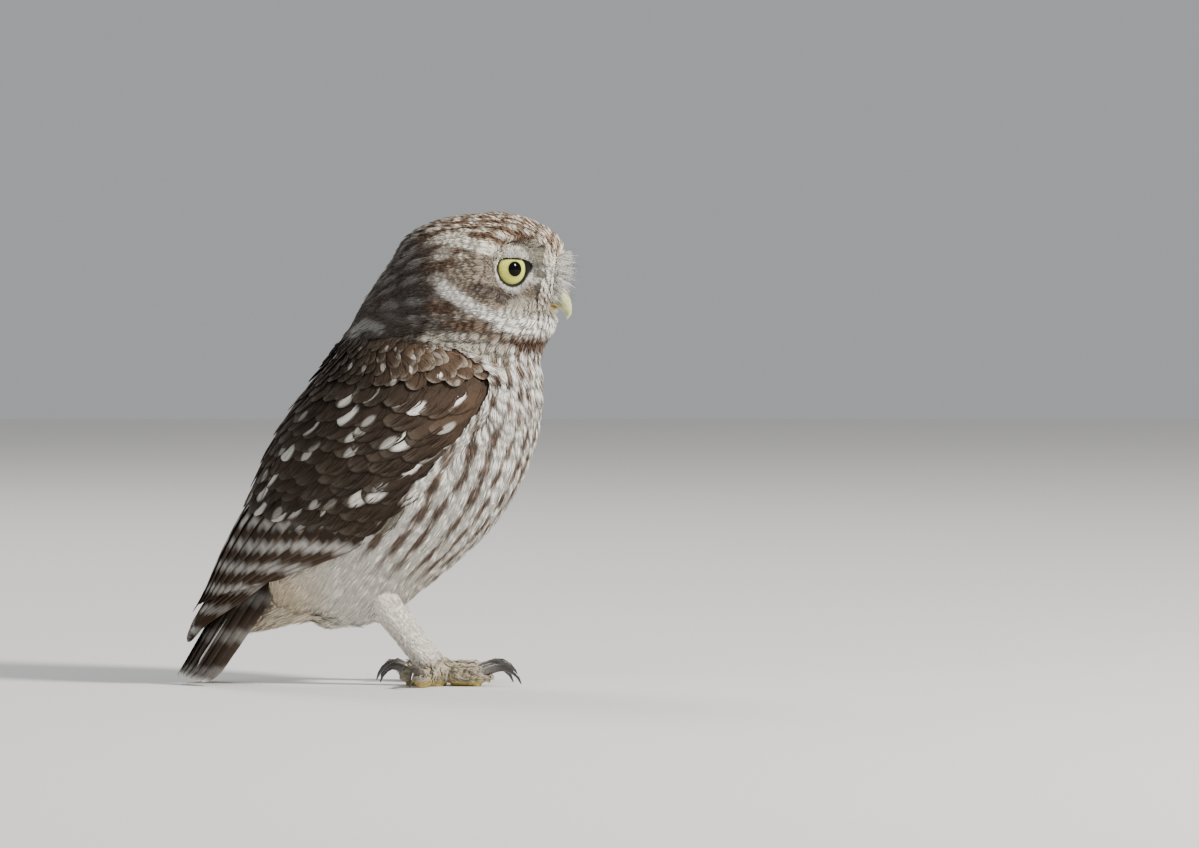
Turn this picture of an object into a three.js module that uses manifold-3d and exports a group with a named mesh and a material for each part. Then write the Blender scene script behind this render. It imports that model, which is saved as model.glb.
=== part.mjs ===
// A little owl at life size, standing still on both feet with the tip of its tail on the ground.
// Millimetres, +Z up. The owl faces +X, its right side is -Y, and its head is turned a little to the right.
// The origin lies on the ground under the middle of the bounding box.

import * as THREE from 'three';
import { mergeVertices } from 'three/addons/utils/BufferGeometryUtils.js';
import Module from 'manifold-3d';

const wasm = await Module();
wasm.setup();

// Driving sizes

const crownHeight = 184.5;
const clearance = 0.3;
const fit = 0.38; // growth of a hollow around its piece, so that flat facets still keep the clearance
const headTurn = THREE.MathUtils.degToRad(-8);
const neckAxis = 30;
const sides = { right: -1, left: 1 };

// Side outline of the plumage under the wings, and its half width: pairs of height and size

const frontLine = [
  [22.5, -13], [26, 0], [31, 11], [38, 19.5], [46, 29.5], [55, 40], [65, 48.5],
  [76, 55.5], [88, 61], [103, 64.8], [116, 65.6], [128, 65.2], [140, 69], [152, 71.5], [168, 72.5],
];
const backLine = [
  [22.5, -19], [26, -29], [31, -37], [38, -48], [46, -55], [56, -54], [67, -49], [81, -43], [94, -36],
  [106, -30], [118, -23.5], [131, -17], [140, -11], [150, -5.5], [168, 7],
];
const sideLine = [
  [22.5, 5], [26, 13], [31, 18.5], [38, 23], [55, 30], [67, 33.5], [81, 37], [94, 39],
  [106, 39.5], [118, 38.5], [130, 35.8], [140, 34], [148, 35], [156, 35.6], [163, 34], [168, 32],
];
const crownStart = 168;
const crownLean = 4;

// Outer surface over the folded wings, down to their tips: pairs of height and size

const wrapFront = [
  [15, -60], [25, -30], [37, 0], [52, 20], [67, 38], [81, 48], [106, 60], [131, 62], [140, 61],
];
const wrapBack = [
  [15, -79], [25, -75], [37, -68.5], [52, -62], [67, -54.5], [81, -48.5], [94, -43], [106, -36],
  [118, -27.5], [131, -18], [140, -11.5],
];
const wrapSide = [
  [15, 8], [25, 16], [37, 25.5], [52, 33], [67, 38.5], [81, 42], [100, 43.5], [118, 41.5], [131, 36], [140, 31],
];

// Leading edge of the folded wing as seen from the side: pairs of height and distance forward

const leadingEdge = [
  [15, -77], [28, -68.5], [38, -52], [46, -39], [51, -26], [57, -7], [66, 4], [77, 17], [91, 31],
  [101, 39.5], [111, 46.5], [118, 48], [124, 44.5], [131, 31],
];

// Heights at which the plumage and the wing are parted

const throatCut = 137.5;
const shoulderCut = 127;
const waistCut = 79;
const ventHeight = 22.5;
const wingTop = 131;
const covertsEnd = 72;
const mantleAngle = THREE.MathUtils.degToRad(150);
const midlineAngle = THREE.MathUtils.degToRad(178.2);

// Thickness of the wing under its surface, and of one feather

const covertDepth = 6.9;
const flightDepth = 9.6;
const vaneThickness = 0.5;
const covertLayer = 1.1; // from one covert of a tier to the next that lies over it
const flightLayer = 1.3;
const spread = 1.4; // largest half width of a feather in steps from one feather to the next

// Reckoning

const { lerp, clamp, smoothstep, degToRad } = THREE.MathUtils;

// A smooth line through pairs of place and value, level beyond its ends
function follow(line, place) {
  const last = line.length - 1;
  if (place <= line[0][0]) return line[0][1];
  if (place >= line[last][0]) return line[last][1];
  const next = line.findIndex((pair) => pair[0] >= place);
  const [from, to] = [next - 1, next];
  const slope = (k) => {
    const before = line[Math.max(k - 1, 0)];
    const after = line[Math.min(k + 1, last)];
    return (after[1] - before[1]) / (after[0] - before[0]);
  };
  const span = line[to][0] - line[from][0];
  const t = (place - line[from][0]) / span;
  const ease = t * t * (3 - 2 * t);
  const pull = t * (1 - t) * span;
  return lerp(line[from][1], line[to][1], ease) + pull * ((1 - t) * slope(from) - t * slope(to));
}

// A small repeatable scatter between -1 and 1 for feather number k
function scatter(k) {
  const wave = Math.sin(k * 12.9898) * 43758.5453;
  return 2 * (wave - Math.floor(wave)) - 1;
}

// Closed shapes

function closed(geometry) {
  geometry.deleteAttribute('normal');
  geometry.deleteAttribute('uv');
  return mergeVertices(geometry, 1e-4);
}

// Moves every vertex of a geometry to the place that a rule gives it
function reshape(geometry, rule) {
  const positions = geometry.attributes.position;
  const vertex = new THREE.Vector3();
  for (let i = 0; i < positions.count; i += 1) {
    vertex.fromBufferAttribute(positions, i);
    const moved = rule(vertex);
    positions.setXYZ(i, moved.x, moved.y, moved.z);
  }
  return geometry;
}

function signedVolume(geometry) {
  const [a, b, c] = [new THREE.Vector3(), new THREE.Vector3(), new THREE.Vector3()];
  const positions = geometry.attributes.position;
  const index = geometry.index.array;
  let volume = 0;
  for (let i = 0; i < index.length; i += 3) {
    a.fromBufferAttribute(positions, index[i]);
    b.fromBufferAttribute(positions, index[i + 1]);
    c.fromBufferAttribute(positions, index[i + 2]);
    volume += a.dot(b.cross(c)) / 6;
  }
  return volume;
}

function solid(geometry) {
  const merged = closed(geometry);
  const triVerts = Uint32Array.from(merged.index.array);
  if (signedVolume(merged) < 0) triVerts.reverse();
  const vertProperties = Float32Array.from(merged.attributes.position.array);
  return new wasm.Manifold(new wasm.Mesh({ numProp: 3, vertProperties, triVerts }));
}

// The largest closed surface of a solid
function largest(shape) {
  const pieces = shape.decompose();
  return pieces.reduce((most, piece) => (piece.volume() > most.volume() ? piece : most));
}

function geometryOf(shape) {
  const mesh = largest(shape).getMesh();
  const geometry = new THREE.BufferGeometry();
  geometry.setAttribute('position', new THREE.BufferAttribute(Float32Array.from(mesh.vertProperties), 3));
  geometry.setIndex(Array.from(mesh.triVerts));
  return geometry;
}

const joined = (shapes) => shapes.reduce((whole, shape) => whole.add(shape));

// A thin closed plate: the same triangles on both faces, and a rim.
// The rule takes the place across and along, from 0 to 1, and the face, 1 outside and -1 inside.
function plate(columns, rows, rule) {
  const grid = new THREE.PlaneGeometry(1, 1, columns, rows);
  const count = grid.attributes.position.count;
  const face = Array.from(grid.index.array);
  const points = [];
  for (const side of [1, -1]) {
    for (let i = 0; i < count; i += 1) {
      const across = (i % (columns + 1)) / columns;
      const along = Math.floor(i / (columns + 1)) / rows;
      points.push(rule(across, along, side));
    }
  }
  const index = [...face, ...face.map((corner) => corner + count).reverse()];
  const rim = [];
  for (let c = 0; c < columns; c += 1) rim.push(c);
  for (let r = 0; r < rows; r += 1) rim.push(r * (columns + 1) + columns);
  for (let c = columns; c > 0; c -= 1) rim.push(rows * (columns + 1) + c);
  for (let r = rows; r > 0; r -= 1) rim.push(r * (columns + 1));
  rim.forEach((corner, i) => {
    const next = rim[(i + 1) % rim.length];
    index.push(corner, next, next + count, corner, next + count, corner + count);
  });
  const geometry = new THREE.BufferGeometry().setFromPoints(points);
  geometry.setIndex(index);
  return geometry;
}

// A closed shape swept along a curve that keeps to one upright plane.
// Its half width and half height follow the way along, and it may end in round caps.
function sweep({ curve, width, height, columns = 10, rows = 8, round = false, grow = 0 }) {
  const barrel = new THREE.CylinderGeometry(1, 1, 1, columns, rows);
  const heading = curve.getPoint(1).sub(curve.getPoint(0));
  const across = new THREE.Vector3(-heading.y, heading.x, 0).normalize();
  return reshape(barrel, (vertex) => {
    const along = clamp(vertex.y + 0.5, 0, 1);
    const centre = curve.getPointAt(along);
    const forward = curve.getTangentAt(along);
    const upward = new THREE.Vector3().crossVectors(forward, across).negate();
    const cap = round ? Math.sqrt(1 - Math.abs(2 * along - 1) ** 5 * 0.97) : 1;
    centre.addScaledVector(across, vertex.x * (width(along) * cap + grow));
    centre.addScaledVector(upward, vertex.z * (height(along) * cap + grow));
    if (grow > 0 && (along === 0 || along === 1)) centre.addScaledVector(forward, along === 0 ? -grow : grow);
    return centre;
  });
}

function ball(centre, radius, columns, rows) {
  const geometry = new THREE.SphereGeometry(radius, columns, rows);
  return geometry.translate(centre.x, centre.y, centre.z);
}

const curveThrough = (points) => new THREE.CatmullRomCurve3(points.map(([x, y, z]) => new THREE.Vector3(x, y, z)));
const taper = (line) => (along) => follow(line, along);

// Plumage of head and body

// Swellings of the face: place, reach sideways and upward, and how far they push out
const faceRelief = [
  { at: [64, 14, 171.5], reach: [12, 4.5], push: 2.6 },
  { at: [71, 0, 160], reach: [6, 9], push: 1.5 },
  { at: [44, 31, 152], reach: [9, 9], push: 1.6 },
  { at: [66, 6, 141], reach: [9, 6], push: 1.2 },
];

// Eyes in the straight-ahead head, and the dish of the face round each: how far it reaches from the
// eye's axis, its level before the eye's centre, and how it rises outward
const eye = { centre: [51.2, 11.8, 162], radius: 9, outward: degToRad(48), upward: degToRad(2) };
const dish = { reach: 13, level: 6.3, rise: 0.035 };

function eyeAxis(side) {
  const flat = new THREE.Vector3(Math.cos(eye.outward), side * Math.sin(eye.outward), Math.sin(eye.upward));
  return flat.normalize();
}

function dished(point) {
  const side = Math.sign(point.y);
  const axis = eyeAxis(side);
  const offset = point.clone().sub(new THREE.Vector3(eye.centre[0], side * eye.centre[1], eye.centre[2]));
  const before = offset.dot(axis);
  if (before < 0) return point;
  const away = offset.addScaledVector(axis, -before).length();
  const weight = Math.exp(-((away / dish.reach) ** 4));
  return point.addScaledVector(axis, weight * (dish.level + dish.rise * away * away - before));
}

// A point of the straight-ahead head at its turned place
function turned(point, share = 1) {
  const moved = point.clone();
  moved.x -= neckAxis;
  moved.applyAxisAngle(new THREE.Vector3(0, 0, 1), headTurn * share);
  moved.x += neckAxis;
  return moved;
}

// A point on the plumage at a height and an angle from straight ahead, positive to the left
function bodyPoint(height, angle, radius = 1) {
  const level = Math.min(height, crownStart);
  const [front, back] = [follow(frontLine, level), follow(backLine, level)];
  const rise = Math.max(0, (height - crownStart) / (crownHeight - crownStart));
  const shrink = radius * Math.sqrt(Math.max(0, 1 - rise * rise));
  const centre = (front + back) / 2 + crownLean * rise * rise;
  const point = new THREE.Vector3(
    centre + shrink * ((front - back) / 2) * Math.cos(angle),
    shrink * follow(sideLine, level) * Math.sin(angle),
    height,
  );
  const outward = new THREE.Vector3(point.x - centre, point.y, 0).normalize();
  if (height > throatCut && radius > 0) dished(point);
  for (const { at, reach, push } of faceRelief) {
    const flat = Math.hypot(point.x - at[0], Math.abs(point.y) - at[1]) / reach[0];
    const upright = (point.z - at[2]) / reach[1];
    point.addScaledVector(outward, radius * push * Math.exp(-flat * flat - upright * upright));
  }
  return turned(point, smoothstep(height, 118, 146));
}

// A slice of the plumage between two heights. On the head the rows close up toward the crown,
// and the columns toward the face.
function slice(bottom, top, columns, rows, crowded = false) {
  const barrel = new THREE.CylinderGeometry(1, 1, 1, columns, rows);
  return solid(reshape(barrel, (vertex) => {
    const radius = Math.min(1, Math.hypot(vertex.x, vertex.z));
    const share = clamp(vertex.y + 0.5, 0, 1);
    const rise = crowded ? Math.sin((share * Math.PI) / 2) : share;
    const height = lerp(bottom, top, rise);
    const angle = Math.atan2(vertex.z, vertex.x);
    return bodyPoint(height, crowded ? angle - 0.5 * Math.sin(angle) : angle, Math.round(radius));
  }));
}

// Surface over the folded wings

function wrapPoint(height, angle) {
  const [front, back] = [follow(wrapFront, height), follow(wrapBack, height)];
  return new THREE.Vector3(
    (front + back) / 2 + ((front - back) / 2) * Math.cos(angle),
    follow(wrapSide, height) * Math.sin(angle),
    height,
  );
}

// The surface's point, its slopes by height and by angle, and its normal
function wrapFrame(height, angle) {
  const step = 0.01;
  const point = wrapPoint(height, angle);
  const byHeight = wrapPoint(height + step, angle).sub(wrapPoint(height - step, angle)).divideScalar(2 * step);
  const byAngle = wrapPoint(height, angle + step).sub(wrapPoint(height, angle - step)).divideScalar(2 * step);
  const normal = new THREE.Vector3().crossVectors(byAngle, byHeight).normalize();
  return { point, byHeight, byAngle, normal };
}

function wrapLifted(height, angle, lift) {
  const { point, normal } = wrapFrame(height, angle);
  return point.addScaledVector(normal, lift);
}

// The angle of the wing's leading edge at a height
function edgeAngle(height) {
  const [front, back] = [follow(wrapFront, height), follow(wrapBack, height)];
  const share = (follow(leadingEdge, height) - (front + back) / 2) / ((front - back) / 2);
  return Math.acos(clamp(share, -0.98, 0.98));
}

// The angle at a share of the way from the leading edge to the midline of the back
const wingAngle = (height, share) => lerp(edgeAngle(height), midlineAngle, share);
const covertAngle = (height, share) => lerp(edgeAngle(height), mantleAngle - 0.008, share);

// A closed patch of the surface between two heights, two edge angles and two levels
function wrapPatch({ bottom, top, fromEdge, toEdge, inner, outer, columns, rows }) {
  return solid(plate(columns, rows, (across, along, face) => {
    const height = lerp(top, bottom, along);
    const angle = lerp(fromEdge(height), toEdge(height), across);
    return wrapLifted(height, angle, face > 0 ? outer : inner);
  }));
}

// One feather on the surface, in three points across and a row at each of the given heights.
// Shares run from 0 at one edge of its tract to 1 at the other, and the tract turns them into angles.
// Like a roof tile it is banked, so that it lies one layer over the next feather of its tier.
function vane({ heights, widths, share, step, tract, layer, levelAt }) {
  const fall = 0.2;
  return solid(plate(2, heights.length - 1, (across, along, face) => {
    const row = Math.round(along * (heights.length - 1));
    const height = heights[row];
    const angleAt = (place) => tract(place, share);
    const frame = wrapFrame(height, angleAt(height));
    const forward = wrapPoint(height - fall, angleAt(height - fall));
    forward.sub(wrapPoint(height + fall, angleAt(height + fall))).normalize();
    const neighbour = wrapPoint(height, tract(height, share + step)).sub(frame.point);
    neighbour.addScaledVector(forward, -neighbour.dot(forward));
    const sideways = new THREE.Vector3().crossVectors(frame.normal, forward).normalize();
    const offset = (across * 2 - 1) * Math.min(widths[row], spread * neighbour.length());
    const climb = sideways.z * offset;
    const rest = sideways.multiplyScalar(offset).addScaledVector(frame.byHeight, -climb);
    const turn = rest.dot(frame.byAngle) / frame.byAngle.lengthSq();
    const angle = clamp(angleAt(height) + turn, tract(height + climb, 0), tract(height + climb, 1));
    const held = offset === 0 ? 0 : (offset * (angle - angleAt(height))) / turn;
    const lift = levelAt(height + climb) - (layer * held) / neighbour.length() + (face * vaneThickness) / 2;
    return wrapLifted(height + climb, angle, lift);
  }));
}

// A tier of short feathers, each with a row at the root, one at its widest and one at the tip
function tierOf({ root, length, halfWidth, shares, tract, levels, seed }) {
  const step = shares[1] - shares[0];
  return shares.map((share, k) => vane({
    heights: [root, root - 0.6 * length, root - length * (1 + 0.05 * scatter(seed + k))],
    widths: [0.6 * halfWidth, halfWidth, 0.42 * halfWidth],
    share,
    step,
    tract,
    layer: covertLayer,
    levelAt: (height) => lerp(...levels, (root - height) / length),
  }));
}

// A tier of long feathers. Their rows lie at the same heights, so that they keep apart.
function longTier({ stations, tips, widths: widthLine, shares, tract, levels, seed }) {
  const step = shares[1] - shares[0];
  return shares.map((share, k) => {
    const tip = lerp(...tips, k / (shares.length - 1)) + 0.5 * scatter(seed + k);
    const heights = [...stations.filter((height) => height > tip + 4), tip];
    const widths = heights.map((height) => follow(widthLine, height) * (height === tip ? 0.4 : 1));
    const levelAt = (height) => follow(levels, height);
    return vane({ heights, widths, share, step, tract, layer: flightLayer, levelAt });
  });
}

// Evenly spaced shares for a number of feathers, moved over by a part of their spacing
const evenShares = (count, shift = 0.5, room = 1) => (
  Array.from({ length: count }, (_, k) => (room * (k + shift)) / count)
);

// Wings, made for the left side and mirrored for the right

const mirrored = (shape, side) => (side > 0 ? shape : shape.mirror([0, 1, 0]));

// Tiers of coverts and scapulars: height of the roots, number, length down the wing and half width
const covertTiers = [
  { root: 121, count: 4, length: 22, halfWidth: 8.5 },
  { root: 107, count: 4, length: 23, halfWidth: 9 },
  { root: 93, count: 5, length: 24, halfWidth: 9 },
  { root: 79, count: 4, length: 21, halfWidth: 9 },
];
const covertLevels = [-4.2, -0.6];
const covertShell = {
  bottom: covertsEnd,
  top: wingTop,
  fromEdge: edgeAngle,
  toEdge: () => mantleAngle,
  inner: -covertDepth,
  outer: -3,
  columns: 5,
  rows: 5,
};

// A patch widened all round by the clearance and opened outward, to cut its place in a neighbour
function hollowFor(patch) {
  const turn = 0.022;
  return wrapPatch({
    ...patch,
    bottom: patch.bottom - fit,
    top: patch.top + 0.7,
    fromEdge: (height) => patch.fromEdge(height) - turn,
    toEdge: (height) => patch.toEdge(height) + turn,
    inner: patch.inner - 2 * fit,
    outer: 5,
  });
}

function wingCoverts(side) {
  const feathers = covertTiers.flatMap(({ count, ...size }, tier) => tierOf({
    ...size,
    shares: evenShares(count, 0.42 + 0.2 * (tier % 2)),
    tract: covertAngle,
    levels: covertLevels,
    seed: tier * 10,
  }));
  return mirrored(joined([wrapPatch(covertShell), ...feathers]), side);
}

// Secondaries run on below the coverts, and the primaries leave from under them to the wing's tip

const secondaryStations = [68.5, 60, 51, 42];
const secondaryTips = [45, 29.5];
const secondaryCount = 6;
const primaryStations = [58, 49, 40, 32];
const primaryTips = [17.5, 26];
const primaryCount = 4;
const secondaryRoot = {
  bottom: 63,
  top: covertsEnd - 1,
  fromEdge: (height) => wingAngle(height, 0.02),
  toEdge: () => midlineAngle,
  inner: -covertDepth,
  outer: -4.2,
  columns: 6,
  rows: 1,
};
const primaryRoot = {
  bottom: 53,
  top: 61,
  fromEdge: (height) => wingAngle(height, 0.08),
  toEdge: (height) => wingAngle(height, 0.5),
  inner: -flightDepth + 1.2,
  outer: -6.9,
  columns: 4,
  rows: 1,
};

function wingSecondaries(side) {
  const feathers = longTier({
    stations: secondaryStations,
    tips: secondaryTips,
    widths: [[30, 5], [45, 5.8], [60, 5.8], [69, 3.6]],
    shares: evenShares(secondaryCount, 0.8, 0.94),
    tract: wingAngle,
    levels: [[30, -2.2], [46, -2.2], [60, -4.3], [69, -5.3]],
    seed: 60,
  });
  return mirrored(joined([wrapPatch(secondaryRoot), ...feathers]), side);
}

function wingPrimaries(side) {
  const feathers = longTier({
    stations: primaryStations,
    tips: primaryTips,
    widths: [[18, 2], [30, 2.4], [42, 3.7], [52, 4], [58, 2.6]],
    shares: evenShares(primaryCount, 0.85, 0.6),
    tract: wingAngle,
    levels: [[17, -2.6], [30, -5], [50, -6.5], [59, -7.9]],
    seed: 70,
  });
  return mirrored(joined([wrapPatch(primaryRoot), ...feathers]), side);
}

// Mantle between the wings, from under the neck to the roots of the flight feathers

const mantleHalf = Math.PI - mantleAngle - 0.009;
const mantleTiers = [
  { root: 122, count: 2, length: 22, halfWidth: 8 },
  { root: 108, count: 3, length: 23, halfWidth: 8 },
  { root: 94, count: 2, length: 24, halfWidth: 8.5 },
  { root: 80, count: 3, length: 22, halfWidth: 8.5 },
];
const mantleShell = {
  bottom: covertsEnd,
  top: wingTop,
  fromEdge: () => Math.PI - mantleHalf,
  toEdge: () => Math.PI + mantleHalf,
  inner: -covertDepth,
  outer: -2.6,
  columns: 4,
  rows: 5,
};

function mantle() {
  const feathers = mantleTiers.flatMap(({ count, ...size }, tier) => tierOf({
    ...size,
    shares: evenShares(count),
    tract: (height, share) => Math.PI + (2 * share - 1) * mantleHalf,
    levels: [-3.7, -0.5],
    seed: 40 + tier * 5,
  }));
  return joined([wrapPatch(mantleShell), ...feathers]);
}

// The hollow that both wings' flight feathers lie in, across the back
const flightHollow = {
  bottom: 15.5,
  top: covertsEnd + 0.01,
  fromEdge: (height) => edgeAngle(height) - 0.045,
  toEdge: (height) => 2 * Math.PI - edgeAngle(height) + 0.045,
  inner: -flightDepth - 0.25,
  outer: 5,
  columns: 14,
  rows: 7,
};

// Tail: an arch of twelve feathers whose outer ones hang at the sides, with its tip on the ground

const tailRoot = new THREE.Vector3(-26, 0, 62);
const tailEnd = new THREE.Vector3(-69, 0, 0.5);
const tailAxis = tailEnd.clone().sub(tailRoot).normalize();
const tailBack = new THREE.Vector3(tailAxis.z, 0, -tailAxis.x);
const tailDepth = [15.5, 9];
const tailHalfWidth = [16, 20];
const tailPairs = 6;
const tailStep = degToRad(15.5);

function tailPoint(way, angle, drop) {
  const depth = lerp(...tailDepth, clamp(way, 0, 1)) - drop;
  const halfWidth = lerp(...tailHalfWidth, clamp(way, 0, 1)) - drop;
  const point = tailRoot.clone().lerp(tailEnd, way);
  point.addScaledVector(tailBack, depth * Math.cos(angle));
  point.y += halfWidth * Math.sin(angle);
  return point;
}

const tailLayer = 1.2;

function tailVane(pair, side) {
  const centre = degToRad(6) + tailStep * pair;
  const firstLeft = pair === 0 && side < 0;
  const layer = pair + (pair > 0 || firstLeft ? 1 : 0);
  const length = 1.06 - 0.012 * pair;
  const ways = [0.06, 0.5, 0.93, 1];
  const widths = [3.9, 6, 5.3, 2.8];
  return solid(plate(2, 3, (across, along, face) => {
    const row = Math.round(along * 3);
    const way = ways[row] * length;
    const spread = ((across * 2 - 1) * widths[row]) / lerp(13, 15, way);
    const angle = Math.max(pair === 0 ? -Infinity : degToRad(1.5), centre + spread);
    return tailPoint(way, side * angle, layer * tailLayer - (face * vaneThickness) / 2);
  }));
}

// The space under the arch of the tail between two ways along it, from its ridge to a little below its sides
function tailArch({ from, to, grow, below }) {
  const barrel = new THREE.CylinderGeometry(1, 1, 1, 14, 3);
  return solid(reshape(barrel, (vertex) => {
    const way = lerp(from, to, clamp(vertex.y + 0.5, 0, 1));
    const point = tailRoot.clone().lerp(tailEnd, way);
    const depth = lerp(...tailDepth, clamp(way, 0, 1)) + grow;
    const halfWidth = lerp(...tailHalfWidth, clamp(way, 0, 1)) + grow;
    point.addScaledVector(tailBack, vertex.x * (vertex.x > 0 ? depth : below));
    point.y += vertex.z * halfWidth;
    return point;
  }));
}

function tail() {
  const feathers = Object.values(sides).flatMap((side) => (
    Array.from({ length: tailPairs }, (_, pair) => tailVane(pair, side))
  ));
  const root = tailArch({ from: 0, to: 0.2, grow: -0.8, below: 1.5 });
  return joined([root, ...feathers]).trimByPlane([0, 0, 1], 0);
}

// Soft feathers under the root of the tail
function undertail(grow = 0) {
  return solid(sweep({
    curve: curveThrough([[-22, 0, 44], [-36, 0, 35.5], [-49, 0, 24.5]]),
    width: taper([[0, 10], [0.6, 8.5], [1, 4]]),
    height: taper([[0, 9], [0.6, 5.5], [1, 2.5]]),
    round: true,
    grow,
  }));
}

// Eyes and lids, in the straight-ahead head

const lidThickness = 1;
const lidBack = 3.6;
const lidOpening = { halfWidth: 6.3, halfHeight: 5.5, drop: 0.5 };
const corneaSwell = 1.1;

// Turns a shape whose axis is +X to the eye's place in the turned head
function atEye(geometry, side) {
  const facing = new THREE.Matrix4().makeRotationZ(side * eye.outward);
  facing.multiply(new THREE.Matrix4().makeRotationY(-eye.upward));
  geometry.applyMatrix4(facing);
  geometry.translate(eye.centre[0], side * eye.centre[1], eye.centre[2]);
  return reshape(geometry, (vertex) => turned(vertex));
}

function eyeball(side) {
  const geometry = new THREE.SphereGeometry(eye.radius, 14, 9).rotateZ(-Math.PI / 2);
  reshape(geometry, (vertex) => {
    const offAxis = Math.hypot(vertex.y, vertex.z);
    const swell = vertex.x > 0 ? corneaSwell * Math.exp(-((offAxis / 4.6) ** 2)) : 0;
    return vertex.clone().setX(vertex.x + swell);
  });
  return solid(atEye(geometry, side));
}

const eyeSphere = (side, radius) => (
  solid(atEye(new THREE.SphereGeometry(radius, 14, 9).rotateZ(-Math.PI / 2), side))
);

// Everything in front of a plane across the eye's axis
function beforeEye(side, distance) {
  return solid(atEye(new THREE.BoxGeometry(20, 40, 40).translate(10 + distance, 0, 0), side));
}

function eyelids(side) {
  const opening = new THREE.CylinderGeometry(1, 1, 30, 14).rotateZ(Math.PI / 2);
  opening.scale(1, lidOpening.halfWidth, lidOpening.halfHeight).translate(15, 0, -lidOpening.drop);
  const inner = eyeSphere(side, eye.radius + fit);
  const outer = eyeSphere(side, eye.radius + fit + lidThickness);
  const cornea = solid(atEye(new THREE.SphereGeometry(7.5, 12, 7).translate(3.4, 0, 0), side));
  return outer.intersect(beforeEye(side, lidBack)).subtract(inner).subtract(cornea)
    .subtract(solid(atEye(opening, side)));
}

function eyeSocket(side) {
  const back = eyeSphere(side, eye.radius + fit);
  const front = eyeSphere(side, eye.radius + lidThickness + 2 * fit);
  return back.add(front.intersect(beforeEye(side, lidBack - fit)));
}

// Bill, in the straight-ahead head

const upperBillLine = [[61, 0, 153], [66, 0, 152.4], [71, 0, 150.9], [74, 0, 147.8], [75.1, 0, 145], [74.4, 0, 142.4]];
const lowerBillLine = [[61, 0, 146.6], [66, 0, 146], [70.8, 0, 145.6]];

function upperBill(grow = 0) {
  return sweep({
    curve: curveThrough(upperBillLine),
    width: taper([[0, 4.8], [0.3, 4.6], [0.55, 3.5], [0.75, 2.1], [0.9, 1], [1, 0.35]]),
    height: taper([[0, 4.9], [0.3, 4.8], [0.55, 3.9], [0.75, 2.4], [0.9, 1.2], [1, 0.35]]),
    columns: 10,
    rows: 9,
    grow,
  });
}

function lowerBill(grow = 0) {
  return sweep({
    curve: curveThrough(lowerBillLine),
    width: taper([[0, 4], [0.5, 3.3], [1, 1]]),
    height: taper([[0, 2.6], [0.5, 2.2], [1, 0.9]]),
    columns: 8,
    rows: 3,
    grow,
  });
}

const inHead = (geometry) => solid(reshape(geometry, (vertex) => turned(vertex)));

function nostrils() {
  return Object.values(sides).map((side) => inHead(ball(new THREE.Vector3(70.2, side * 3.9, 152.6), 0.9, 8, 6)));
}

// Legs and feet

const legSpread = 14;
const ankle = { x: 20.5, z: 9 };
const shankTop = { x: 0.5, z: 36 };

function shank(side, grow = 0) {
  const y = side * legSpread;
  return solid(sweep({
    curve: curveThrough([[shankTop.x, y, shankTop.z], [8, y, 25], [15, y, 15.5], [ankle.x, y, ankle.z]]),
    width: taper([[0, 5.2], [0.5, 5], [0.8, 5.4], [1, 6.2]]),
    height: taper([[0, 5.6], [0.5, 5.2], [0.8, 5.4], [1, 5.6]]),
    columns: 12,
    rows: 5,
    grow,
  }));
}

function thighRegion(side, grow = 0) {
  const geometry = new THREE.SphereGeometry(1, 12, 8);
  geometry.scale(19 + grow, 13 + grow, 20 + grow).rotateY(degToRad(-35));
  return solid(geometry.translate(3, side * 16, 46));
}

// Toes by number, from the inner hind toe round: direction from straight ahead, length, and claw size.
// Two toes point forward, and the outer one is turned out to the side or back.
const toePlans = {
  right: [
    { name: 'hind', heading: 160, length: 13, claw: 9 },
    { name: 'inner', heading: 12, length: 21, claw: 11 },
    { name: 'middle', heading: -10, length: 23, claw: 12 },
    { name: 'outer', heading: -108, length: 18, claw: 9.5 },
  ],
  left: [
    { name: 'hind', heading: -168, length: 13, claw: 10 },
    { name: 'inner', heading: -10, length: 20, claw: 11 },
    { name: 'middle', heading: 14, length: 22, claw: 12 },
    { name: 'outer', heading: 142, length: 17, claw: 10 },
  ],
};
const toeStart = 3.4;
const toeRadius = 4.1;

function footPoint(side, heading, distance, height) {
  const turn = degToRad(heading);
  return [ankle.x + 1.5 + distance * Math.cos(turn), side * legSpread + distance * Math.sin(turn), height];
}

function footPad(side, grow = 0) {
  const geometry = new THREE.SphereGeometry(1, 12, 8);
  geometry.scale(7.4 + grow, 7 + grow, 6 + grow).translate(ankle.x + 1.5, side * legSpread, 4.6);
  return solid(geometry);
}

function toe(side, { heading, length }, grow = 0) {
  const at = (distance, height) => footPoint(side, heading, distance, height);
  return solid(sweep({
    curve: curveThrough([at(toeStart, 4.6), at(length * 0.55, 3.9), at(length, 3.7)]),
    width: taper([[0, toeRadius], [0.45, toeRadius * 0.88], [0.8, toeRadius], [1, toeRadius * 0.95]]),
    height: taper([[0, toeRadius * 1.1], [0.5, toeRadius * 0.95], [1, toeRadius]]),
    columns: 8,
    rows: 4,
    round: true,
    grow,
  }));
}

// A claw rises from the end of its toe and curves over and down to a point just clear of the ground
function claw(side, { heading, length, claw: size }, grow = 0) {
  const at = (distance, height) => footPoint(side, heading, length + distance, height);
  return solid(sweep({
    curve: curveThrough([
      at(-3.2, 5), at(size * 0.12, 7), at(size * 0.5, 7.2), at(size * 0.84, 4.4), at(size, 0.9),
    ]),
    width: taper([[0, 1.5], [0.3, 1.45], [0.7, 0.85], [1, 0.25]]),
    height: taper([[0, 1.7], [0.3, 1.7], [0.7, 1], [1, 0.28]]),
    columns: 6,
    rows: 6,
    grow,
  }));
}

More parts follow.
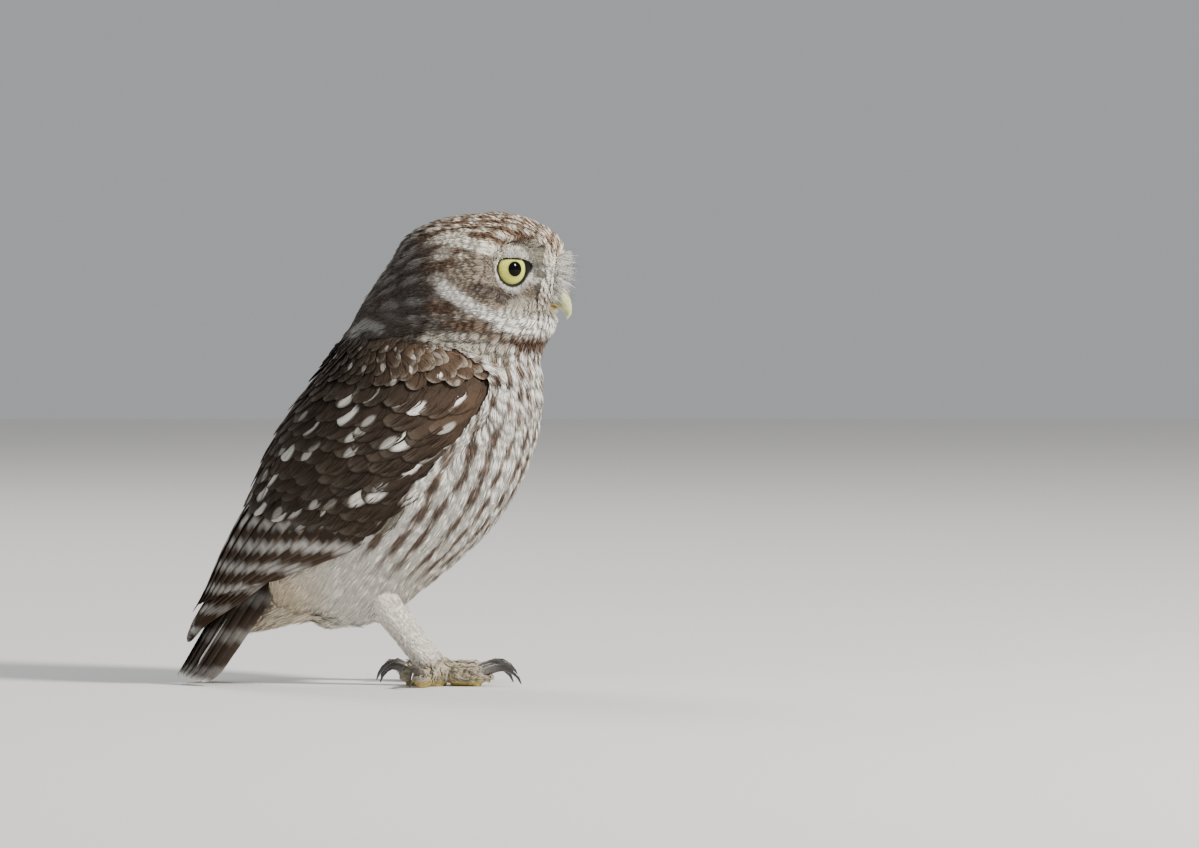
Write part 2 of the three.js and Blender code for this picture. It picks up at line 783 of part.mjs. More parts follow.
// Sub-parts

const plumage = { brown: 0x5b4636, buff: 0xb9a58a, cream: 0xd8cfbf, white: 0xe6e1d6 };
const horn = { bill: 0xa9ad72, claw: 0x2e2a28, toe: 0x8d7f5c };

const owl = new THREE.Group();

function add(name, shape, color, roughness = 0.9) {
  const material = new THREE.MeshStandardMaterial({ color, roughness, metalness: 0 });
  const mesh = new THREE.Mesh(geometryOf(shape), material);
  mesh.name = name;
  owl.add(mesh);
}

const billHollow = inHead(upperBill(fit)).add(inHead(lowerBill(fit)));
const sockets = eyeSocket(sides.left).add(eyeSocket(sides.right));
const covertHollow = hollowFor(covertShell);
const tailHollow = tailArch({ from: -0.06, to: 0.75, grow: 1.2, below: 4 });
const hollows = joined([
  covertHollow,
  mirrored(covertHollow, sides.right),
  hollowFor(mantleShell),
  wrapPatch(flightHollow),
  tailHollow,
]);

add('head', slice(throatCut, crownHeight, 32, 14, true).subtract(sockets).subtract(billHollow), plumage.brown);
add('neck', slice(shoulderCut, throatCut - clearance, 24, 2).subtract(hollows), plumage.buff);
add('breast', slice(waistCut, shoulderCut - clearance, 22, 6).subtract(hollows), plumage.cream);

const bothSides = Object.values(sides);
const legHollows = joined(bothSides.map((side) => shank(side, fit)));
const lowerBody = slice(ventHeight, waistCut - clearance, 22, 8).subtract(hollows).subtract(legHollows);
const ventHollow = undertail(0.5);
const thighHollows = joined(bothSides.map((side) => thighRegion(side, clearance)));
add('belly', lowerBody.subtract(thighHollows).subtract(ventHollow), plumage.white);
add('undertail', undertail().subtract(tailHollow), plumage.buff);
add('tail', tail(), plumage.brown);
add('mantle', mantle(), plumage.brown);
add('bill_upper', inHead(upperBill()).subtract(joined(nostrils())), horn.bill, 0.45);
add('bill_lower', inHead(lowerBill()).subtract(inHead(upperBill(fit))), horn.bill, 0.5);

for (const [name, side] of Object.entries(sides)) {
  add(`eye_${name}`, eyeball(side), 0xcfc75a, 0.1);
  add(`eyelids_${name}`, eyelids(side), 0x1c1917, 0.6);
  add(`wing_coverts_${name}`, wingCoverts(side), plumage.brown);
  add(`wing_secondaries_${name}`, wingSecondaries(side), plumage.brown);
  add(`wing_primaries_${name}`, wingPrimaries(side), plumage.brown);
  add(`thigh_${name}`, lowerBody.intersect(thighRegion(side)).subtract(ventHollow), plumage.white);
  add(`shank_${name}`, shank(side).subtract(footPad(side, fit)), plumage.white);
  add(`foot_${name}`, footPad(side).trimByPlane([0, 0, 1], 0), horn.toe);
  toePlans[name].forEach((plan, k) => {
    const taken = [footPad(side, fit), shank(side, fit), claw(side, plan, fit)];
    const earlier = toePlans[name].slice(0, k).map((other) => toe(side, other, fit));
    const shape = toe(side, plan).subtract(joined([...taken, ...earlier]));
    add(`toe_${plan.name}_${name}`, shape.trimByPlane([0, 0, 1], 0), horn.toe);
    add(`claw_${plan.name}_${name}`, claw(side, plan), horn.claw, 0.35);
  });
}

const box = new THREE.Box3().setFromObject(owl);
const middle = box.getCenter(new THREE.Vector3());
owl.position.set(-middle.x, -middle.y, -box.min.z);

export default owl;
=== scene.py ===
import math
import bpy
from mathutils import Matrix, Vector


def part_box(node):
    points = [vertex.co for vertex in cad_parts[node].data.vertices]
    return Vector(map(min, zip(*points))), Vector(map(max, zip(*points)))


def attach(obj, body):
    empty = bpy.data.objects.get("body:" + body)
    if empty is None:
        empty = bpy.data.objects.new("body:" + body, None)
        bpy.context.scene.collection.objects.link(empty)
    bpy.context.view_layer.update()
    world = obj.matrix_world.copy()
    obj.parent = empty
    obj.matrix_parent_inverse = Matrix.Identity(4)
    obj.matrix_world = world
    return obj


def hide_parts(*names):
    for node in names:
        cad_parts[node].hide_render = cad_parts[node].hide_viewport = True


bl_info = {
    "name": "Little Owl",
    "version": (1, 0, 0),
    "blender": (4, 5, 0),
    "location": "View3D > Sidebar > Little Owl",
    "description": "Dresses the solids of a little owl in skin, feathers, eyes, bill, toes and claws",
    "category": "Object",
}

import bpy
import numpy as np
from mathutils import Vector
from mathutils.bvhtree import BVHTree

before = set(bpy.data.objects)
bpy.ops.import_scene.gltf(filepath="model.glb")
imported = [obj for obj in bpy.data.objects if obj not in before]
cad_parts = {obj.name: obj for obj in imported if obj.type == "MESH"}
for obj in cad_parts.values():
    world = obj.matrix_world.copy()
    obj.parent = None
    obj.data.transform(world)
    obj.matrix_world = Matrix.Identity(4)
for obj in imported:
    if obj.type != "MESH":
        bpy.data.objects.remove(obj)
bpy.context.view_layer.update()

# Sizes of the solids that the plumage follows, in millimetres: pairs of height and size

BODY_FRONT = [
    (22.5, -13), (26, 0), (31, 11), (38, 19.5), (46, 29.5), (55, 40), (65, 48.5),
    (76, 55.5), (88, 61), (103, 64.8), (116, 65.6), (128, 65.2), (140, 69), (152, 71.5), (168, 72.5),
]
BODY_BACK = [
    (22.5, -19), (26, -29), (31, -37), (38, -48), (46, -55), (56, -54), (67, -49), (81, -43), (94, -36),
    (106, -30), (118, -23.5), (131, -17), (140, -11), (150, -5.5), (168, 7),
]
BODY_SIDE = [
    (22.5, 5), (26, 13), (31, 18.5), (38, 23), (55, 30), (67, 33.5), (81, 37), (94, 39),
    (106, 39.5), (118, 38.5), (130, 35.8), (140, 34), (148, 35), (156, 35.6), (163, 34), (168, 32),
]
CROWN_START, CROWN_TOP, CROWN_LEAN = 168, 184.5, 4
WRAP_FRONT = [
    (15, -60), (25, -30), (37, 0), (52, 20), (67, 38), (81, 48), (106, 60), (131, 62), (140, 61),
]
WRAP_BACK = [
    (15, -79), (25, -75), (37, -68.5), (52, -62), (67, -54.5), (81, -48.5), (94, -43), (106, -36),
    (118, -27.5), (131, -18), (140, -11.5),
]
WRAP_SIDE = [
    (15, 8), (25, 16), (37, 25.5), (52, 33), (67, 38.5), (81, 42), (100, 43.5), (118, 41.5),
    (131, 36), (140, 31),
]
LEADING_EDGE = [
    (15, -77), (28, -68.5), (38, -52), (46, -39), (51, -26), (57, -7), (66, 4), (77, 17), (91, 31),
    (101, 39.5), (111, 46.5), (118, 48), (124, 44.5), (131, 31),
]
MIDLINE = math.radians(178.2)
MANTLE_EDGE = math.radians(150)
HEAD_TURN = math.radians(-8)
NECK_AXIS = 30
EYE_CENTRE = (51.2, 11.8, 162)
EYE_RADIUS = 9
EYE_OUTWARD, EYE_UPWARD = math.radians(48), math.radians(2)
TAIL_ROOT, TAIL_END = np.array((-26.0, 0, 62)), np.array((-69.0, 0, 0.5))
TAIL_DEPTH, TAIL_WIDTH = (15.5, 9), (16, 20)
LEG_SPREAD, FOOT_FORWARD = 14, 22

# What the scene adds: sizes in millimetres, shares of a colour or a length, and numbers of feathers

SKIN_UNDER_COAT, SKIN_BEHIND_BILL, SKIN_TINT = 0.35, 4.5, 0.42
# Pairs of height and backward lean of the body feathers
FEATHER_LEAN = [
    (24, 0.35), (40, 0.55), (55, 0.75), (70, 0.7), (85, 0.42), (100, 0.2), (120, 0.08), (135, 0.1),
]
EYE_CLEARING, LEG_CLEARING = 13, 8.5
MAP_HEIGHT = 186
WING_SIDE_LENGTH, WING_SIDE_WIDTH = 11.5, 2.4
LEG_LENGTH, LEG_ROWS, LEG_FEATHER_LENGTH, LEG_FEATHER_WIDTH = 33, 26, 6, 1.15
UNDERTAIL_LENGTH, UNDERTAIL_ROWS, UNDERTAIL_COLUMNS, UNDERTAIL_WIDTH = 31, 17, 24, 2.4
COVERT_ROWS, COVERT_TOP, COVERT_LOW_EDGE, COVERT_LOW_BACK = 13, 138, 73, 92
COVERT_VANE, LONG_VANE = (11, 6), (30, 10)
SPOT_REACH, SPOT_ALONG = 9, 0.76
DOWN_DEPTH, DOWN_THICKNESS, DOWN_INSET = 3.4, 1.4, 0.2
TAIL_PAIRS, TAIL_OVERLAP, TAIL_CLEARANCE = 6, 0.8, 0.45
BAR_SPACING, TAIL_BAR_SPACING = 8.8, 14.5
IRIS_RADIUS, LID_TOP, CORNEA_SWELL, CORNEA_REACH = 6.1, 3.7, 1.1, 4.6
GAZE_OUTWARD = math.radians(52)
EYE_RINGS = 0.008  # metres from the eye's axis that its rings of colour reach
LOWER_BILL_RAISE = 0.9
FACE_ROWS, FACE_ROW_STEP = 17, 0.75
FOREHEAD_ROWS, FOREHEAD_COLUMNS = 36, 20
BILL_BRISTLES, TOE_BRISTLES = 300, 420

SIDES = {"right": -1, "left": 1}

# How far the solids stand forward of their own design axes, read from a foot of known place
foot_low, foot_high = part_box("foot_right")
FORWARD = (foot_low.x + foot_high.x) / 2 * 1000 - FOOT_FORWARD


# Reckoning

def follow(line, place):
    """A smooth line through pairs of place and value, level beyond its ends."""
    places, values = np.array(line, float).T
    slopes = np.gradient(values, places)
    slopes[1:-1] = (values[2:] - values[:-2]) / (places[2:] - places[:-2])
    held = np.clip(place, places[0], places[-1])
    start = np.clip(np.searchsorted(places, held) - 1, 0, len(places) - 2)
    span = places[start + 1] - places[start]
    t = (held - places[start]) / span
    ease = t * t * (3 - 2 * t)
    pull = t * (1 - t) * span * ((1 - t) * slopes[start] - t * slopes[start + 1])
    return values[start] + (values[start + 1] - values[start]) * ease + pull


def smooth(low, high, value):
    share = np.clip((value - low) / (high - low), 0, 1)
    return share * share * (3 - 2 * share)


def unit(vectors):
    return vectors / np.maximum(np.linalg.norm(vectors, axis=-1, keepdims=True), 1e-9)


def blend(first, second, share):
    return first + (second - first) * share


def turned(points, back=False):
    """Turns points of the straight-ahead head to their place, or back again."""
    angle = HEAD_TURN * smooth(118, 146, points[..., 2]) * (-1 if back else 1)
    x = points[..., 0] - NECK_AXIS
    y = points[..., 1]
    return np.stack([
        NECK_AXIS + x * np.cos(angle) - y * np.sin(angle),
        x * np.sin(angle) + y * np.cos(angle),
        points[..., 2],
    ], -1)


def turned_way(way):
    """A direction of the straight-ahead head, turned with it."""
    x, y, z = way
    return np.array((x * math.cos(HEAD_TURN) - y * math.sin(HEAD_TURN),
                     x * math.sin(HEAD_TURN) + y * math.cos(HEAD_TURN), z))


def body_point(height, angle):
    level = np.minimum(height, CROWN_START)
    front, back = follow(BODY_FRONT, level), follow(BODY_BACK, level)
    rise = np.clip((height - CROWN_START) / (CROWN_TOP - CROWN_START), 0, 1)
    shrink = np.sqrt(np.maximum(0, 1 - rise * rise))
    x = (front + back) / 2 + CROWN_LEAN * rise * rise + shrink * (front - back) / 2 * np.cos(angle)
    y = shrink * follow(BODY_SIDE, level) * np.sin(angle)
    return turned(np.stack([x, y, height + 0 * x], -1))


def wrap_point(height, angle):
    front, back = follow(WRAP_FRONT, height), follow(WRAP_BACK, height)
    x = (front + back) / 2 + (front - back) / 2 * np.cos(angle)
    return np.stack([x, follow(WRAP_SIDE, height) * np.sin(angle), height + 0 * x], -1)


def wrap_normal(height, angle):
    step = 0.01
    by_angle = wrap_point(height, angle + step) - wrap_point(height, angle - step)
    by_height = wrap_point(height + step, angle) - wrap_point(height - step, angle)
    return unit(np.cross(by_angle, by_height))


def edge_angle(height):
    front, back = follow(WRAP_FRONT, height), follow(WRAP_BACK, height)
    share = (follow(LEADING_EDGE, height) - (front + back) / 2) / ((front - back) / 2)
    return np.arccos(np.clip(share, -0.98, 0.98))


def wing_angle(height, share):
    return blend(edge_angle(height), MIDLINE, share)


def wing_places(heights, angles, side):
    """Places on the outside of one folded wing, and their normals."""
    flip = np.array((1, side, 1))
    return wrap_point(heights, angles) * flip, wrap_normal(heights, angles) * flip


def spine_lengths(spine):
    return np.linalg.norm(np.diff(spine, axis=1), axis=2).sum(1)


def only(keep, *values):
    return [value[keep] for value in values]


def eye_axis(outward, side):
    ahead = outward * side + HEAD_TURN
    return unit(np.array([math.cos(ahead), math.sin(ahead), math.sin(EYE_UPWARD)]))


def eye_place(side):
    centre = turned(np.array([EYE_CENTRE[0], side * EYE_CENTRE[1], EYE_CENTRE[2]], float))
    return centre, eye_axis(EYE_OUTWARD, side)


# Settings

def length_setting(name, description, default):
    return bpy.props.FloatProperty(name=name, description=description, default=default, unit="LENGTH")


def colour_setting(name, description, default):
    return bpy.props.FloatVectorProperty(
        name=name, description=description, default=default, subtype="COLOR", size=3)


class OwlCoatSettings(bpy.types.PropertyGroup):
    body_depth: length_setting("Body coat", "Depth of the coat over the skin of breast and back", 0.0032)
    head_depth: length_setting("Head coat", "Depth of the coat over the skin of the head", 0.0022)
    face_depth: length_setting("Face coat", "Depth of the coat round the eyes", 0.001)
    leg_depth: length_setting("Leg coat", "Depth of the coat on the shanks", 0.001)
    white: colour_setting("White", "White of brow, throat, breast and spots", (0.86, 0.83, 0.77))
    cream: colour_setting("Cream", "Cream of belly and legs", (0.68, 0.62, 0.51))
    brown: colour_setting("Warm brown", "Brown of crown and breast streaks", (0.17, 0.095, 0.052))
    umber: colour_setting("Umber", "Dark brown of back and wings", (0.095, 0.064, 0.043))
    grey: colour_setting("Grey-brown", "Grey-brown of the face", (0.27, 0.215, 0.16))


class OwlPartSettings(bpy.types.PropertyGroup):
    iris: colour_setting("Iris", "Pale yellow of the eyes", (0.62, 0.64, 0.14))
    pupil: length_setting("Pupil", "Radius of the pupil", 0.0029)
    bill: colour_setting("Bill", "Yellow-green of the bill's ridge", (0.52, 0.53, 0.25))
    toe: colour_setting("Toes", "Yellow of the toe pads", (0.42, 0.32, 0.10))
    claw: colour_setting("Claws", "Dark horn of the claws", (0.03, 0.026, 0.023))


class OwlStageSettings(bpy.types.PropertyGroup):
    elevation: bpy.props.FloatProperty(
        name="Elevation", description="Height of the camera above the horizon",
        default=math.radians(2), subtype="ANGLE")
    distance: length_setting("Distance", "From the camera to the owl", 4)
    view_width: length_setting("View width", "Width of the picture at the owl", 0.4676)


def coat():
    return bpy.context.scene.owl_coat


def parts():
    return bpy.context.scene.owl_parts


def paint(name):
    """A colour of the coat."""
    return np.array(getattr(coat(), name))


# Meshes

def select_only(*objects):
    bpy.ops.object.select_all(action="DESELECT")
    for thing in objects:
        thing.select_set(True)
    bpy.context.view_layer.objects.active = objects[0]


def apply_modifier(thing, kind, **settings):
    modifier = thing.modifiers.new(kind.title(), kind)
    for key, value in settings.items():
        setattr(modifier, key, value)
    select_only(thing)
    bpy.ops.object.modifier_apply(modifier=modifier.name)


def smooth_copy(name, nodes, voxel, swell=0.0, rounds=8):
    """One smooth closed mesh over copies of solids, which are swollen so that they meet."""
    copies = []
    for node in nodes:
        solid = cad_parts[node]
        copy = bpy.data.objects.new(name, solid.data.copy())
        copy.data.materials.clear()
        bpy.context.scene.collection.objects.link(copy)
        copies.append(copy)
    select_only(*copies)
    if len(copies) > 1:
        bpy.ops.object.join()
    thing = copies[0]
    bpy.ops.object.mode_set(mode="EDIT")
    bpy.ops.mesh.select_all(action="SELECT")
    bpy.ops.mesh.remove_doubles(threshold=0.00001)
    if swell:
        bpy.ops.transform.shrink_fatten(value=swell)
    bpy.ops.object.mode_set(mode="OBJECT")
    apply_modifier(thing, "REMESH", mode="VOXEL", voxel_size=voxel)
    apply_modifier(thing, "SMOOTH", factor=0.5, iterations=rounds)
    bpy.ops.object.shade_smooth()
    thing.name = thing.data.name = name
    return thing


def coordinates(mesh):
    values = np.zeros(len(mesh.vertices) * 3)
    mesh.vertices.foreach_get("co", values)
    return values.reshape(-1, 3)


def normals_of(mesh):
    values = np.zeros(len(mesh.vertices) * 3)
    mesh.vertex_normals.foreach_get("vector", values)
    return values.reshape(-1, 3)


def owl_places(mesh):
    """A mesh's points in millimetres, measured as the sizes above are."""
    return coordinates(mesh) * 1000 - (FORWARD, 0, 0)


def put_places(mesh, places):
    mesh.vertices.foreach_set("co", ((places + (FORWARD, 0, 0)) / 1000).ravel())


def new_thing(name, places, faces):
    mesh = bpy.data.meshes.new(name)
    mesh.from_pydata((places + (FORWARD, 0, 0)) / 1000, [], faces)
    thing = bpy.data.objects.new(name, mesh)
    bpy.context.scene.collection.objects.link(thing)
    return thing


def set_tint(mesh, colours):
    layer = mesh.attributes.new("Tint", "FLOAT_COLOR", "POINT")
    rgba = np.ones((len(colours), 4))
    rgba[:, :3] = np.clip(colours, 0, 1)
    layer.data.foreach_set("color", rgba.ravel())


def set_map(mesh, name, places):
    """A UV map from one place for each vertex."""
    corners = np.zeros(len(mesh.loops), int)
    mesh.loops.foreach_get("vertex_index", corners)
    layer = mesh.uv_layers.new(name=name)
    layer.data.foreach_set("uv", np.ascontiguousarray(places[corners]).ravel())


def finish_piece(thing, material, slot, *nodes):
    thing.data.materials.clear()
    thing.data.materials.append(material)
    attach(thing, "root")
    if nodes:
        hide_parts(*nodes)


# Materials

def add_node(nodes, kind, operation=None, **inputs):
    """A shader node, with its operation and the values of its inputs."""
    node = nodes.new("ShaderNode" + kind)
    if operation:
        node.operation = operation
    for name, value in inputs.items():
        node.inputs[name.replace("_", " ")].default_value = value
    return node


def add_math(nodes, links, operation, *values):
    """A math node over numbers or other nodes' outputs."""
    node = add_node(nodes, "Math", operation)
    for socket, value in zip(node.inputs, values):
        if isinstance(value, (int, float)):
            socket.default_value = value
        else:
            links.new(value, socket)
    return node.outputs[0]


def add_group_socket(group, name, direction, value=None):
    socket = group.interface.new_socket(name=name, in_out=direction, socket_type="NodeSocketFloat")
    if value is not None:
        socket.default_value = value


def grain_group():
    """Fine uneven grain: a factor about one for the colour, and a height for the bump."""
    group = bpy.data.node_groups.get("Owl grain")
    if group:
        return group
    group = bpy.data.node_groups.new("Owl grain", "ShaderNodeTree")
    add_group_socket(group, "Scale", "INPUT", 900.0)
    add_group_socket(group, "Strength", "INPUT", 0.3)
    add_group_socket(group, "Factor", "OUTPUT")
    add_group_socket(group, "Height", "OUTPUT")
    nodes, links = group.nodes, group.links
    inlet, outlet = nodes.new("NodeGroupInput"), nodes.new("NodeGroupOutput")
    place = add_node(nodes, "TexCoord")
    noise = add_node(nodes, "TexNoise", Detail=4)
    factor = add_node(nodes, "MapRange", From_Min=0.25, From_Max=0.75)
    strength = inlet.outputs["Strength"]
    links.new(place.outputs["Object"], noise.inputs["Vector"])
    links.new(inlet.outputs["Scale"], noise.inputs["Scale"])
    links.new(noise.outputs["Fac"], factor.inputs["Value"])
    links.new(add_math(nodes, links, "SUBTRACT", 1, strength), factor.inputs["To Min"])
    links.new(add_math(nodes, links, "ADD", 1, strength), factor.inputs["To Max"])
    links.new(factor.outputs[0], outlet.inputs["Factor"])
    links.new(noise.outputs["Fac"], outlet.inputs["Height"])
    return group


def new_material(name, roughness, **constants):
    material = bpy.data.materials.new(name)
    material.use_nodes = True
    shader = material.node_tree.nodes["Principled BSDF"]
    shader.inputs["Roughness"].default_value = roughness
    for socket, value in constants.items():
        shader.inputs[socket.replace("_", " ")].default_value = value
    return material


def add_bump(material, height, strength, distance):
    """Adds a bump on top of any that the material has."""
    nodes, links = material.node_tree.nodes, material.node_tree.links
    normal = nodes["Principled BSDF"].inputs["Normal"]
    bump = add_node(nodes, "Bump", Strength=strength, Distance=distance)
    links.new(height, bump.inputs["Height"])
    if normal.is_linked:
        links.new(normal.links[0].from_socket, bump.inputs["Normal"])
    links.new(bump.outputs["Normal"], normal)


def add_grained_colour(material, colour, scale, strength):
    """Gives a material a colour broken up by grain, and returns the height of the grain."""
    nodes, links = material.node_tree.nodes, material.node_tree.links
    grain = add_node(nodes, "Group")
    grain.node_tree = grain_group()
    grain.inputs["Scale"].default_value = scale
    grain.inputs["Strength"].default_value = strength
    grained = add_node(nodes, "VectorMath", "SCALE")
    links.new(colour, grained.inputs[0])
    links.new(grain.outputs["Factor"], grained.inputs["Scale"])
    links.new(grained.outputs[0], nodes["Principled BSDF"].inputs["Base Color"])
    return grain.outputs["Height"]


def tinted_material(name, grain=0.2, scale=1400.0, roughness=0.75, bump=0.25, **constants):
    """Takes its colour from the painted tint, broken up by fine grain."""
    material = bpy.data.materials.get(name)
    if material:
        return material
    material = new_material(name, roughness, **constants)
    tint = add_node(material.node_tree.nodes, "Attribute")
    tint.attribute_name = "Tint"
    height = add_grained_colour(material, tint.outputs["Color"], scale, grain)
    add_bump(material, height, bump, 0.0002)
    return material


def feather_material():
    return tinted_material("Feather", grain=0.22, scale=1500.0, roughness=0.75, bump=0.3, Sheen_Weight=0.12,
                           Specular_IOR_Level=0.25)


def covert_material():
    """Vanes with slanting barbs and one white spot, drawn in the feather's own map."""
    material = bpy.data.materials.get("Vane")
    if material:
        return material
    material = tinted_material("Vane", grain=0.14, scale=900.0, roughness=0.68, bump=0.2,
                               Specular_IOR_Level=0.16)
    nodes, links = material.node_tree.nodes, material.node_tree.links
    vane = add_node(nodes, "UVMap")
    vane.uv_map = "Vane"
    split = add_node(nodes, "SeparateXYZ")
    links.new(vane.outputs["UV"], split.inputs[0])

    spot, size = add_node(nodes, "Attribute"), add_node(nodes, "Attribute")
    spot.attribute_name, size.attribute_name = "Spot", "Spot size"
    offset = add_node(nodes, "VectorMath", "SUBTRACT")
    scaled = add_node(nodes, "VectorMath", "MULTIPLY")
    far = add_node(nodes, "VectorMath", "LENGTH")
    links.new(vane.outputs["UV"], offset.inputs[0])
    links.new(spot.outputs["Vector"], offset.inputs[1])
    links.new(offset.outputs[0], scaled.inputs[0])
    links.new(size.outputs["Vector"], scaled.inputs[1])
    links.new(scaled.outputs[0], far.inputs[0])
    strength = add_node(nodes, "SeparateXYZ")
    links.new(spot.outputs["Vector"], strength.inputs[0])

    web = add_math(nodes, links, "ABSOLUTE", split.outputs["X"])
    slant = add_math(nodes, links, "MULTIPLY_ADD", web, -0.13, split.outputs["Y"])
    comb = add_node(nodes, "TexNoise", Detail=3)
    comb.noise_dimensions = "1D"
    links.new(add_math(nodes, links, "MULTIPLY", slant, 46), comb.inputs["W"])
    ragged = add_math(nodes, links, "MULTIPLY_ADD", comb.outputs["Fac"], 0.5, far.outputs["Value"])
    mask = add_node(nodes, "MapRange", From_Min=0.85, From_Max=1.4, To_Min=1, To_Max=0)
    mask.interpolation_type = "SMOOTHSTEP"
    links.new(ragged, mask.inputs["Value"])
    weight = add_math(nodes, links, "MULTIPLY", mask.outputs[0], strength.outputs["Z"])

    base = nodes["Principled BSDF"].inputs["Base Color"]
    spotted = add_node(nodes, "Mix")
    spotted.data_type = "RGBA"
    ground, white = (socket for socket in spotted.inputs if socket.type == "RGBA")
    links.new(base.links[0].from_socket, ground)
    white.default_value = (*coat().white, 1)
    links.new(weight, spotted.inputs[0])
    combed = add_node(nodes, "VectorMath", "SCALE")
    streaked = add_math(nodes, links, "MULTIPLY_ADD", comb.outputs["Fac"], 0.7, 0.65)
    links.new(streaked, combed.inputs["Scale"])
    links.new(next(socket for socket in spotted.outputs if socket.type == "RGBA"), combed.inputs[0])
    links.new(combed.outputs[0], base)
    add_bump(material, comb.outputs["Fac"], 0.5, 0.0003)
    return material


# Markings of the plumage, in the straight-ahead owl seen from its side: forward and up, in millimetres

BROW = [(31, 174.5), (42, 172), (51, 169.4), (58, 168.6), (65, 168), (72, 166)]
LORES = [(60, 165.5), (66, 162.5), (70, 160), (73, 156)]
DISC = [(40, 158), (46, 162), (50, 156), (58, 155)]
SMUDGE = [(45, 155), (51, 152.5), (56, 150)]
CRESCENT = [(31, 155.5), (39, 150), (46, 146), (53, 142.5)]
THROAT = [(53, 142), (60, 140.5), (67, 140)]
RUFF = [(29, 148), (38, 142.5), (47, 139), (56, 136), (63, 133.5)]
GAPE = [(58, 148), (66, 147), (71, 146)]
BIB = [(24, 134), (34, 133.5), (43, 132), (50, 130)]
NAPE = [(-8, 137), (-2, 141), (4, 139)]

WING_SPOTS = [
    (-23.6, 103.7), (-34.5, 90.5), (-13.8, 85.4), (-29.4, 71.4), (3.4, 78), (-4.8, 73.5), (12.7, 123.6),
    (23.5, 123), (10.8, 114.7), (0.8, 108.6), (-0.5, 116), (-9, 113.8), (31, 113.4), (39, 114.8),
    (29.5, 105), (13.1, 96), (20.9, 92.4), (31, 96.6), (13.5, 86.2), (-11, 106.3), (-39, 84),
    (-43, 76), (-20, 71), (-3.6, 102.3), (15.5, 107.5), (-44, 66), (-33, 64),
]


def nearness(points, path, reach):
    """From 1 on a path of forward and up to 0 well away from it."""
    place = points[..., (0, 2)]
    nearest = np.full(place.shape[:-1], 1e9)
    for start, end in zip(path[:-1], path[1:]):
        start, end = np.array(start, float), np.array(end, float)
        along = np.clip(((place - start) @ (end - start)) / ((end - start) @ (end - start)), 0, 1)
        gap = place - start - along[..., None] * (end - start)
        nearest = np.minimum(nearest, np.linalg.norm(gap, axis=-1))
    return 1 - smooth(0.7 * reach, 1.35 * reach, nearest)


def spread(column, row, seed):
    """An even-looking number from 0 to 1 for each cell of a pattern."""
    value = np.sin(column * 127.1 + row * 311.7 + seed * 74.7) * 43758.5453
    return value - np.floor(value)


def drops(across, along, half_width, half_length, seed, taper=0.0):
    """Staggered long spots: places are in cells across and along, sizes are shares of a cell."""
    column = np.round(across)
    shifted = along + 0.5 * (column % 2) + 0.7 * spread(column, 0, seed)
    row = np.round(shifted)
    beside = across - column + 0.3 * (spread(column, row, seed + 1) - 0.5)
    ahead = shifted - row
    size = 0.75 + 0.5 * spread(column, row, seed + 2)
    wide = half_width * size * (1 - taper * ahead / half_length * 0.5)
    return 1 - smooth(0.75, 1.2, np.hypot(beside / wide, ahead / half_length))


def body_angle(points):
    """Angle round the body's sections at places of the straight-ahead owl."""
    level = np.minimum(points[..., 2], CROWN_START)
    front, back = follow(BODY_FRONT, level), follow(BODY_BACK, level)
    ahead = (points[..., 0] - (front + back) / 2) / ((front - back) / 2)
    return np.arctan2(points[..., 1] / follow(BODY_SIDE, level), ahead)


def breast_streaks(straight):
    """Brown drop-shaped streaks, closer together on the upper breast."""
    z = straight[..., 2]
    angle = body_angle(straight)
    low = drops(angle * 30 / (2 * math.pi), z / 11.5, 0.23, 0.5, 3, taper=0.5)
    high = drops(angle * 40 / (2 * math.pi), z / 8.5, 0.30, 0.45, 5, taper=0.4)
    return blend(low, high, smooth(98, 110, z)) * smooth(30, 46, z + 0.45 * (straight[..., 0] - 20))


def crown_spots(straight):
    """Pale long spots that run back from the bill over the crown."""
    from_bill = straight - (76, 0, 154)
    angle = np.arctan2(from_bill[..., 1], np.maximum(from_bill[..., 2], -40) + 14)
    away = np.linalg.norm(from_bill, axis=-1)
    fine = drops(angle * 52 / (2 * math.pi), away / 5.2, 0.3, 0.42, 9)
    coarse = drops(angle * 30 / (2 * math.pi), away / 7.4, 0.3, 0.4, 17)
    return blend(coarse, fine, smooth(30, 42, straight[..., 0] + 0.5 * (straight[..., 2] - 165)))


